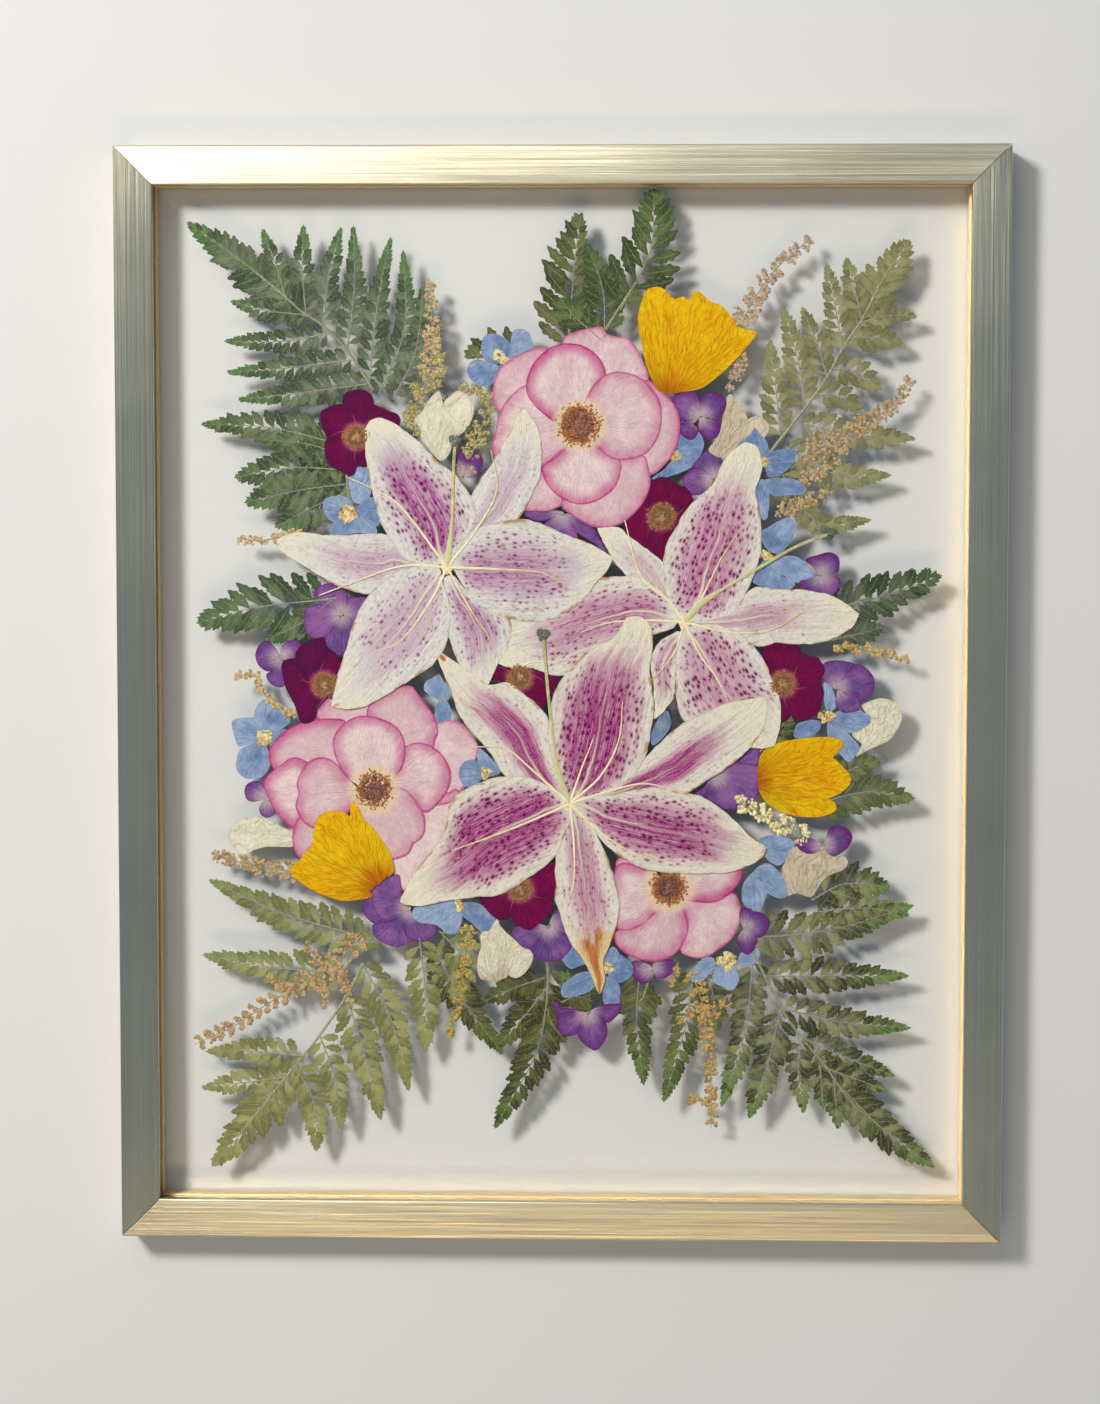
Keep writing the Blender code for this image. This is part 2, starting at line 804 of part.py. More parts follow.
def build():
    """Build the whole object in its own collection."""
    clear_scene()
    collection = bpy.data.collections.new("pressed_flower_frame")
    bpy.context.scene.collection.children.link(collection)
    add_frame(collection)
    add_ferns(collection)
    add_lilies(collection)
    add_round_flowers(PINK_ROSES, "pink", collection)
    add_round_flowers(BURGUNDY_ROSES, "burgundy", collection)
    add_round_flowers(BLUE_FLOWERS, "blue", collection)
    add_round_flowers(HYDRANGEAS, "hydrangea", collection)
    add_round_flowers(WHITE_FLOWERS, "white", collection)
    add_cup_flowers(collection)
    add_sprigs(collection)


build()
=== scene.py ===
"""Looks of the pressed flower frame: dried lilies, roses, florets and ferns behind glass.

The frame lies on its back and is seen from above. +X is the picture's right, +Y its top.
"""

import bpy
import numpy as np
from mathutils import Matrix, Vector


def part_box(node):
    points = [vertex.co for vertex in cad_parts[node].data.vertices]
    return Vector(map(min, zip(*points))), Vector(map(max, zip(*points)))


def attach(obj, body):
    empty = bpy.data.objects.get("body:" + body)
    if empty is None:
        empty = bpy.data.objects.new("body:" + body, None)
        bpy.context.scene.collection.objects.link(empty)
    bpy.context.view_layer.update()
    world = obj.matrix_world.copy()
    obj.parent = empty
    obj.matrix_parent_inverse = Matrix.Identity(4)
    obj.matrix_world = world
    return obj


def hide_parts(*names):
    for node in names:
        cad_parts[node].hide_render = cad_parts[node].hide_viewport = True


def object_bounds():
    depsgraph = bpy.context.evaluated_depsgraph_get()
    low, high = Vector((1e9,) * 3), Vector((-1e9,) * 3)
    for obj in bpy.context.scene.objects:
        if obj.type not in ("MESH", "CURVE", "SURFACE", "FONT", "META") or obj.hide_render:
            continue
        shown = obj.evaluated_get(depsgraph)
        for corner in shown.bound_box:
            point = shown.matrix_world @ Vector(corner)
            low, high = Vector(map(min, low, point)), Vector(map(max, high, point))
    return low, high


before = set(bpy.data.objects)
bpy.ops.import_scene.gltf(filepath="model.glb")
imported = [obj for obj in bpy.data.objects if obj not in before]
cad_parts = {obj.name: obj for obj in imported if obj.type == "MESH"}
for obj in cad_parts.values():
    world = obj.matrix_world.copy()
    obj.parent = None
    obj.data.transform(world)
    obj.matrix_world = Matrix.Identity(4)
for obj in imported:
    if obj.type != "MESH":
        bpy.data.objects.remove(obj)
cad_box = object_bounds()
MM = 0.001

# ---------------------------------------------------------------------------------------------
# The view and the light. The camera looks down on the frame from a little above its middle, as
# the photographer stood. One soft key light from the upper left throws the flowers' shadows on
# a pale floor, and an even cool sky fills them.
# ---------------------------------------------------------------------------------------------

# The tilt is an axis whose length is the angle in radians, away from straight down.
VIEW_POINT = Vector((40 * MM, 96 * MM, 1472 * MM))
VIEW_TILT = Vector((-0.06712, 0.03089, 0.00216))
VIEW_LIMIT = 100
LENS_MM = 76.8
LIGHT_DISTANCE = 2.4

# Each light's direction from the frame's middle, its two sides in metres, power and colour.
LIGHTS = {
    "key_light": ((-0.64, 0.58, 1.0), (0.42, 0.42), 50.0, (1, 0.97, 0.93)),
    "window_glow": ((-0.22, 0.75, 1.0), (0.9, 0.9), 5.5, (1, 0.93, 0.8)),
    "warm_bounce": ((-0.09, -0.66, 1.0), (1.3, 0.34), 11.0, (1, 0.72, 0.38)),
}
SKY_COLOUR = (0.52, 0.70, 0.88)
SKY_STRENGTH = 0.34
FLOOR_SIZE = 40.0
FLOOR_DROP = 0.05 * MM
FLOOR_COLOUR = (0.665, 0.655, 0.645)
FLOOR_ROUGHNESS = 0.9


def set_up_camera():
    """Place the camera at the view point, turned from straight down by the view's tilt."""
    data = bpy.data.cameras.new("view")
    data.lens = LENS_MM
    data.clip_end = VIEW_LIMIT
    camera = bpy.data.objects.new("view", data)
    camera.rotation_mode = "AXIS_ANGLE"
    camera.rotation_axis_angle = (VIEW_TILT.length, *VIEW_TILT.normalized())
    camera.location = VIEW_POINT
    bpy.context.scene.collection.objects.link(camera)
    bpy.context.scene.camera = camera


def add_area_light(name, direction, size, power, colour):
    """Add a rectangular light that shines on the frame's middle from a direction."""
    direction = Vector(direction).normalized()
    data = bpy.data.lights.new(name, "AREA")
    data.shape = "RECTANGLE"
    data.size, data.size_y = size
    data.energy = power
    data.color = colour
    light = bpy.data.objects.new(name, data)
    light.location = direction * LIGHT_DISTANCE
    light.rotation_mode = "QUATERNION"
    light.rotation_quaternion = direction.to_track_quat("Z", "Y")
    bpy.context.scene.collection.objects.link(light)


def set_sky():
    """Light everything evenly from all round."""
    world = bpy.data.worlds.new("sky")
    world.use_nodes = True
    background = world.node_tree.nodes["Background"]
    background.inputs["Color"].default_value = (*SKY_COLOUR, 1)
    background.inputs["Strength"].default_value = SKY_STRENGTH
    bpy.context.scene.world = world


def add_floor():
    """Lay a plain matt floor under the frame."""
    bpy.ops.mesh.primitive_plane_add(size=FLOOR_SIZE, location=(0, 0, -FLOOR_DROP))
    floor = bpy.context.active_object
    floor.name = "floor"
    paint = bpy.data.materials.new("floor_paint")
    paint.use_nodes = True
    surface = paint.node_tree.nodes["Principled BSDF"]
    surface.inputs["Base Color"].default_value = (*FLOOR_COLOUR, 1)
    surface.inputs["Roughness"].default_value = FLOOR_ROUGHNESS
    floor.data.materials.append(paint)


set_up_camera()
for light_name, light_values in LIGHTS.items():
    add_area_light(light_name, *light_values)
set_sky()
add_floor()
bpy.context.scene.view_settings.view_transform = "Standard"

# ---------------------------------------------------------------------------------------------
# The rails: four lengths of an aluminium moulding, brushed along their length and anodised a
# pale champagne gold, cut at 45 degrees and joined at the corners.
# ---------------------------------------------------------------------------------------------

RAIL_FACE = 19 * MM
RAIL_DEPTH = 22 * MM
LIP_THICKNESS = 3.5 * MM
RABBET_WIDTH = 7.7 * MM
RAIL_ARRIS = 0.9 * MM
ARRIS_STEPS = 6
MITRE_GAP = 0.2 * MM
RAIL_STATIONS = 24
RAIL_GOLD = (0.71, 0.645, 0.47)
RAIL_GOLD_DARK = (0.61, 0.555, 0.40)
BARE_METAL = (0.95, 0.93, 0.86)
ARRIS_ANGLE = 31


class Signal:
    """One value in a material's node tree; arithmetic on it adds Math nodes."""

    def __init__(self, finish, socket):
        self.finish = finish
        self.socket = socket

    def math(self, operation, *others):
        """Return this value and others put through a Math node."""
        inputs = dict(enumerate((self, *others)))
        return self.finish.add("ShaderNodeMath", {"operation": operation}, inputs)

    def __add__(self, other):
        return self.math("ADD", other)

    def __sub__(self, other):
        return self.math("SUBTRACT", other)

    def __rsub__(self, other):
        return (self * -1) + other

    def __mul__(self, other):
        return self.math("MULTIPLY", other)

    __radd__ = __add__
    __rmul__ = __mul__

    def step(self, low, high):
        """Return 0 below low and 1 above high, smooth between; low may be the larger."""
        turned = low > high
        ends = sorted((low, high))
        settings = {"interpolation_type": "SMOOTHSTEP"}
        inputs = {"Value": self, "From Min": ends[0], "From Max": ends[1]}
        ramp = self.finish.add("ShaderNodeMapRange", settings, inputs)
        return 1 - ramp if turned else ramp


class Finish:
    """A material under construction, with one method that adds any node."""

    def __init__(self, name):
        self.material = bpy.data.materials.new(name)
        self.material.use_nodes = True
        self.tree = self.material.node_tree
        self.surface = self.tree.nodes["Principled BSDF"]

    def connect(self, socket, value):
        """Give an input a number, a colour or another node's output."""
        if isinstance(value, Signal):
            self.tree.links.new(value.socket, socket)
        elif isinstance(value, tuple) and len(value) == 3 and socket.type == "RGBA":
            socket.default_value = (*value, 1)
        else:
            socket.default_value = value

    def add(self, kind, settings=None, inputs=None, output=0):
        """Add a node: its settings first, then its inputs by name or number."""
        node = self.tree.nodes.new(kind)
        for name, value in (settings or {}).items():
            setattr(node, name, value)
        for name, value in (inputs or {}).items():
            self.connect(node.inputs[name], value)
        return Signal(self, node.outputs[output])

    def set(self, **inputs):
        """Set inputs of the Principled shader, named with underscores for spaces."""
        for name, value in inputs.items():
            self.connect(self.surface.inputs[name.replace("_", " ")], value)

    def mix(self, share, first, second):
        """Return the first colour with a share of the second mixed in."""
        settings = {"data_type": "RGBA", "clamp_factor": True}
        return self.add("ShaderNodeMix", settings, {0: share, 6: first, 7: second}, output=2)

    def place(self, stretch=(1, 1, 1), turn=0.0):
        """Return object coordinates, scaled and turned."""
        where = self.add("ShaderNodeTexCoord", output=3)
        inputs = {"Vector": where, "Scale": stretch, "Rotation": (0, 0, turn)}
        return self.add("ShaderNodeMapping", inputs=inputs)

    def noise(self, where, scale, detail=2.0, roughness=0.5, distortion=0.0):
        """Return a smooth noise from 0 to 1."""
        inputs = {"Vector": where, "Scale": scale, "Detail": detail, "Roughness": roughness,
                  "Distortion": distortion}
        return self.add("ShaderNodeTexNoise", inputs=inputs)

    def measure(self, name):
        """Return one of the mesh's own values."""
        return self.add("ShaderNodeAttribute", {"attribute_name": name}, output=2)

    def bump(self, height, distance):
        """Return the normal of a surface raised by a height times a distance in metres."""
        return self.add("ShaderNodeBump", inputs={"Height": height, "Distance": distance})


def toned(colour, gain):
    """Return a colour times a gain, or times one gain for each of its three parts."""
    return tuple(float(part) for part in np.multiply(colour, gain))


def closed_rings(rings, poles, **measures):
    """Return closed bodies, each a row of rings closed by a point at both ends.

    rings is (bodies, rings, points, 3) and poles is (bodies, 2, 3). Each measure spreads over
    (bodies, rings, points) and is kept as a value of every point; a pole takes its ring's mean.
    Every body's faces are wound so that the sum of its triangles' triple products, six times
    its volume, comes out positive: they all point outwards.
    """
    bodies, count, around, _ = rings.shape
    index = np.arange(count * around).reshape(count, around)
    beside = np.roll(index, -1, axis=1)
    quads = np.stack([index[:-1], beside[:-1], beside[1:], index[1:]], axis=-1).reshape(-1, 4)
    first, last = count * around, count * around + 1
    start = np.stack([beside[0], index[0], np.full(around, first)], axis=-1)
    end = np.stack([index[-1], beside[-1], np.full(around, last)], axis=-1)
    points = np.concatenate([rings.reshape(bodies, -1, 3), poles], axis=1)
    triangles = np.concatenate([quads[:, :3], quads[:, (0, 2, 3)], start, end])
    one, two, three = (points[:, triangles[:, corner]] - points[:, :1] for corner in range(3))
    volumes = np.einsum("ijk,ijk->i", one, np.cross(two, three))[:, None]
    wound = [np.concatenate([face[:, ::way].ravel() for face in (quads, start, end)])
             for way in (1, -1)]
    corners = np.where(volumes > 0, *wound)
    sizes = np.concatenate([np.full(len(quads), 4), np.full(2 * around, 3)])
    shift = np.arange(bodies)[:, None] * (count * around + 2)
    values = {}
    for key, given in measures.items():
        given = np.broadcast_to(given, (bodies, count, around))
        ends = np.stack([given[:, 0].mean(axis=1), given[:, -1].mean(axis=1)], axis=1)
        values[key] = np.concatenate([given.reshape(bodies, -1), ends], axis=1).ravel()
    return {
        "points": points.reshape(-1, 3),
        "corners": (corners + shift).ravel(),
        "sizes": np.tile(sizes, bodies),
        "values": values,
    }


def joined(shapes):
    """Return one shape with the faces and values of several; a value not given is 0."""
    counts = [len(shape["points"]) for shape in shapes]
    starts = np.append(0, np.cumsum(counts)[:-1])
    keys = sorted({key for shape in shapes for key in shape["values"]})
    return {
        "points": np.concatenate([shape["points"] for shape in shapes]),
        "corners": np.concatenate([s["corners"] + start for s, start in zip(shapes, starts)]),
        "sizes": np.concatenate([shape["sizes"] for shape in shapes]),
        "values": {key: np.concatenate([shape["values"].get(key, np.zeros(count))
                                        for shape, count in zip(shapes, counts)])
                   for key in keys},
    }


def add_piece(name, slot, parts, *nodes, sharp=75):
    """Put a piece on the frame, in place of its plain solids; parts pair a shape with a finish."""
    whole = joined([shape for shape, _ in parts])
    corners, sizes = whole["corners"].astype(np.int32), whole["sizes"].astype(np.int32)
    mesh = bpy.data.meshes.new(name)
    mesh.vertices.add(len(whole["points"]))
    mesh.vertices.foreach_set("co", whole["points"].astype(np.float32).ravel())
    mesh.loops.add(len(corners))
    mesh.loops.foreach_set("vertex_index", corners)
    mesh.polygons.add(len(sizes))
    mesh.polygons.foreach_set("loop_start", np.append(0, np.cumsum(sizes)[:-1]).astype(np.int32))
    mesh.update(calc_edges=True)
    for key, values in whole["values"].items():
        attribute = mesh.attributes.new(key, "FLOAT", "POINT")
        attribute.data.foreach_set("value", values.astype(np.float32))
    for _, finish in parts:
        mesh.materials.append(finish.material)
    shares = [np.full(len(shape["sizes"]), number) for number, (shape, _) in enumerate(parts)]
    mesh.polygons.foreach_set("material_index", np.concatenate(shares).astype(np.int32))
    mesh.polygons.foreach_set("use_smooth", [True] * len(mesh.polygons))
    mesh.set_sharp_from_angle(angle=np.radians(sharp))
    piece = bpy.data.objects.new(name, mesh)
    bpy.context.scene.collection.objects.link(piece)
    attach(piece, "root")
    if nodes:
        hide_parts(*nodes)


def rail_section():
    """Return the rail's section, (inward from the outer wall, height), round from the back.

    A block with a lip over the glass, both front arrises a quarter circle.
    """
    angle = np.linspace(0, np.pi / 2, ARRIS_STEPS + 1)
    inward = RAIL_ARRIS * (1 - np.cos(angle))
    height = RAIL_DEPTH - RAIL_ARRIS * (1 - np.sin(angle))
    outer = np.stack([inward, height], axis=1)
    inner = np.stack([RAIL_FACE - inward, height], axis=1)[::-1]
    lip_back = RAIL_DEPTH - LIP_THICKNESS
    rabbet = RAIL_FACE - RABBET_WIDTH
    back = [(RAIL_FACE, lip_back), (rabbet, lip_back), (rabbet, 0)]
    return np.concatenate([[(0, 0)], outer, inner, back])


def mitred_bar(section, outer_length, offset, turn):
    """Carry a section along one side of the frame, its ends cut back 45 degrees.

    A point at (inward, height) and share s of the length lies at
    x = s (length / 2 - inward), y = inward - offset; the bar is then turned about the middle.
    """
    shares = np.linspace(-1, 1, RAIL_STATIONS)[:, None]
    inward, height = section[:, 0], section[:, 1]
    x = shares * (outer_length / 2 - inward)
    y = np.broadcast_to(inward - offset, x.shape)
    z = np.broadcast_to(height, x.shape)
    rings = np.stack([x, y, z], axis=-1)[None]
    middle = section.mean(axis=0)
    ends = np.array([-1, 1]) * (outer_length / 2 - middle[0])
    poles = np.stack([ends, np.full(2, middle[0] - offset), np.full(2, middle[1])], axis=1)
    spin = np.array(Matrix.Rotation(turn, 3, "Z"))
    return closed_rings(rings @ spin.T, poles[None] @ spin.T)


def brushed_metal(name, along_x, colour, dark_colour, groove, sheen):
    """Brushed, anodised aluminium: hair-fine grooves, faint bands, clouds and a few scratches.

    The grooves are noise drawn out over a thousand times along the bar. They lean the surface
    only across the bar, so that a light spreads into a band across it.
    """
    finish = Finish(name)

    def grain(fine, long, detail, roughness):
        stretch = (long, fine, fine) if along_x else (fine, long, fine)
        return finish.noise(finish.place(stretch), 1.0, detail, roughness)

    hairs = grain(6500, 5, 1.0, 0.5)
    lines = grain(2400, 1.5, 2.0, 0.6)
    bands = grain(330, 0.7, 1.0, 0.5)
    clouds = finish.noise(finish.place(), 16.0, 3.0, 0.6)
    tint = lines * 0.5 + bands * 0.25 + clouds * 0.3
    tinted = finish.mix(tint.step(0.30, 0.78), dark_colour, colour)
    scratch = finish.noise(finish.place((2600, 45, 45), 0.4), 1.0, 1.0).step(0.74, 0.78)
    scratch = scratch * finish.noise(finish.place(), 40.0).step(0.56, 0.66)
    finish.set(
        Base_Color=finish.mix(scratch * 0.5, tinted, BARE_METAL),
        Metallic=1.0,
        Roughness=sheen + lines * 0.08 + clouds * 0.06 - scratch * 0.08,
        Normal=finish.bump(hairs, groove),
    )
    return finish


def add_rails():
    """Add the four rails, each brushed along its own length."""
    section = rail_section()
    outer_width = cad_box[1].x - cad_box[0].x
    outer_height = cad_box[1].y - cad_box[0].y
    golds = (RAIL_GOLD, RAIL_GOLD_DARK)
    level = brushed_metal("brushed_gold_level", True, *golds, 0.0001, 0.26)
    upright = brushed_metal("brushed_gold_upright", False, *golds, 0.00013, 0.155)
    sides = (
        ("bottom", outer_width, outer_height / 2, 0.0, level),
        ("right", outer_height, outer_width / 2, np.pi / 2, upright),
        ("top", outer_width, outer_height / 2, np.pi, level),
        ("left", outer_height, outer_width / 2, -np.pi / 2, upright),
    )
    for side, length, offset, turn, finish in sides:
        name = f"rail_{side}"
        bar = mitred_bar(section, length - 2 * MITRE_GAP, offset, turn)
        add_piece(f"{name}_moulding", "rail", [(bar, finish)], name, sharp=ARRIS_ANGLE)


add_rails()

# ---------------------------------------------------------------------------------------------
# The retaining strips: plain square gold-coloured strips behind the back pane, flush with the
# rails' inner edge, so that they are the gold wall seen through the glass.
# ---------------------------------------------------------------------------------------------

STRIP_WIDTH = 7.4 * MM
STRIP_BACK = 1 * MM
STRIP_FRONT = 10.5 * MM
STRIP_ARRIS = 0.4 * MM
STRIP_GOLD = (0.72, 0.58, 0.34)
STRIP_GOLD_DARK = (0.56, 0.43, 0.23)


def strip_section():
    """Return the strip's section, a rectangle with its four arrises cut off."""
    low, high = STRIP_BACK, STRIP_FRONT
    cut, wide = STRIP_ARRIS, STRIP_WIDTH
    return np.array([
        (cut, low), (0, low + cut), (0, high - cut), (cut, high),
        (wide - cut, high), (wide, high - cut), (wide, low + cut), (wide - cut, low),
    ])


def add_strips():
    """Add the four strips inside the rails' rabbets."""
    low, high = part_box("strip_bottom")
    width = high.x - low.x
    start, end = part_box("strip_left")
    height = end.y - start.y
    golds = (STRIP_GOLD, STRIP_GOLD_DARK)
    level = brushed_metal("strip_gold_level", True, *golds, 0.00008, 0.55)
    upright = brushed_metal("strip_gold_upright", False, *golds, 0.00008, 0.75)
    sides = (
        ("bottom", width, -low.y, 0.0, level),
        ("right", height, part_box("strip_right")[1].x, np.pi / 2, upright),
        ("top", width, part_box("strip_top")[1].y, np.pi, level),
        ("left", height, -start.x, -np.pi / 2, upright),
    )
    for side, length, offset, turn, finish in sides:
        name = f"strip_{side}"
        bar = mitred_bar(strip_section(), length, offset, turn)
        add_piece(f"{name}_gold", "strip", [(bar, finish)], name, sharp=ARRIS_ANGLE)


add_strips()

# ---------------------------------------------------------------------------------------------
# The panes: two sheets of clear float glass that press the flowers between them. Light that
# falls through them to the floor isn't bent, so that the flowers' shadows lie there.
# ---------------------------------------------------------------------------------------------

GLASS_TINT = (0.997, 0.999, 0.997)
GLASS_FILM = 0.02
SHADOW_RAY, DIFFUSE_RAY = 1, 2
# Lower than real glass, so that the panes mirror as little of the pale sky as they did in the
# photograph, where the surroundings were dark.
GLASS_INDEX = 1.22


def clear_glass():
    """Clear float glass with a breath of film on it.

    Shadow and diffuse rays pass straight through, so that light falls on the flowers and on the
    floor as if no pane were there.
    """
    finish = Finish("clear_glass")
    film = finish.noise(finish.place(), 9.0, 4.0, 0.6).step(0.45, 0.9) * GLASS_FILM
    finish.set(Base_Color=GLASS_TINT, Roughness=film, IOR=GLASS_INDEX, Transmission_Weight=1.0)
    clear = finish.add("ShaderNodeBsdfTransparent", inputs={"Color": GLASS_TINT})
    both = Signal(finish, finish.surface.outputs[0])
    for kind_of_ray in (SHADOW_RAY, DIFFUSE_RAY):
        ray = finish.add("ShaderNodeLightPath", output=kind_of_ray)
        both = finish.add("ShaderNodeMixShader", inputs={0: ray, 1: both, 2: clear})
    finish.connect(finish.tree.nodes["Material Output"].inputs["Surface"], both)
    return finish


pane_finish = clear_glass()
for pane in ("glass_front", "glass_back"):
    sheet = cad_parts[pane]
    sheet.data.materials.clear()
    sheet.data.materials.append(pane_finish.material)

# ---------------------------------------------------------------------------------------------
# The ferns: leaves pressed flat and dried, dark green to olive, each with a pale stem, side
# fronds and toothed leaflets. They lie deepest, fanned out round the flowers.
# ---------------------------------------------------------------------------------------------

# Where the opening's corners stand in the photograph, in pixels of its 1100 by 1404 frame. The
# flowers' places, stems and outlines are such readings too: x and y of each point in turn.
CORNER_READINGS = ((150.9, 186.6), (973.7, 183.2), (963.6, 1205.8), (158.1, 1196.6))
OPENING = np.array((197, 247.5)) * MM
READ_FROM = np.array((30, 97)) * MM
READ_DISTANCE = 1467 * MM
FLOWER_DEPTH = 7.5 * MM
DEEPEST_LAYER = 13.8 * MM
LAYER_PITCH = 0.2 * MM

# No base colour is lighter than this.
LIGHTEST = 0.9
LEAFLET_STATIONS = 14
LEAFLET_TEETH = 5.0
TIP_REACH = 9 * MM
TIP_TAPER = 0.7
TIP_DROP = 0.1 * MM
FINEST_REACH = 1.4 * MM
LAST_LEAFLET = (3 * MM, 1.5 * MM)
FROND_STATIONS = 28
MAIN_STEM_HALF_WIDTHS = (0.8 * MM, 0.3 * MM)
MAIN_STEM_LIFT = 0.05 * MM
FROND_STEM_HALF_WIDTHS = (0.42 * MM, 0.10 * MM)
FROND_STEM_LIFT = 0.07 * MM
# The share of the main stem, from its base, that carries fronds and no leaflets of its own.
BARE_SHARE = 0.56

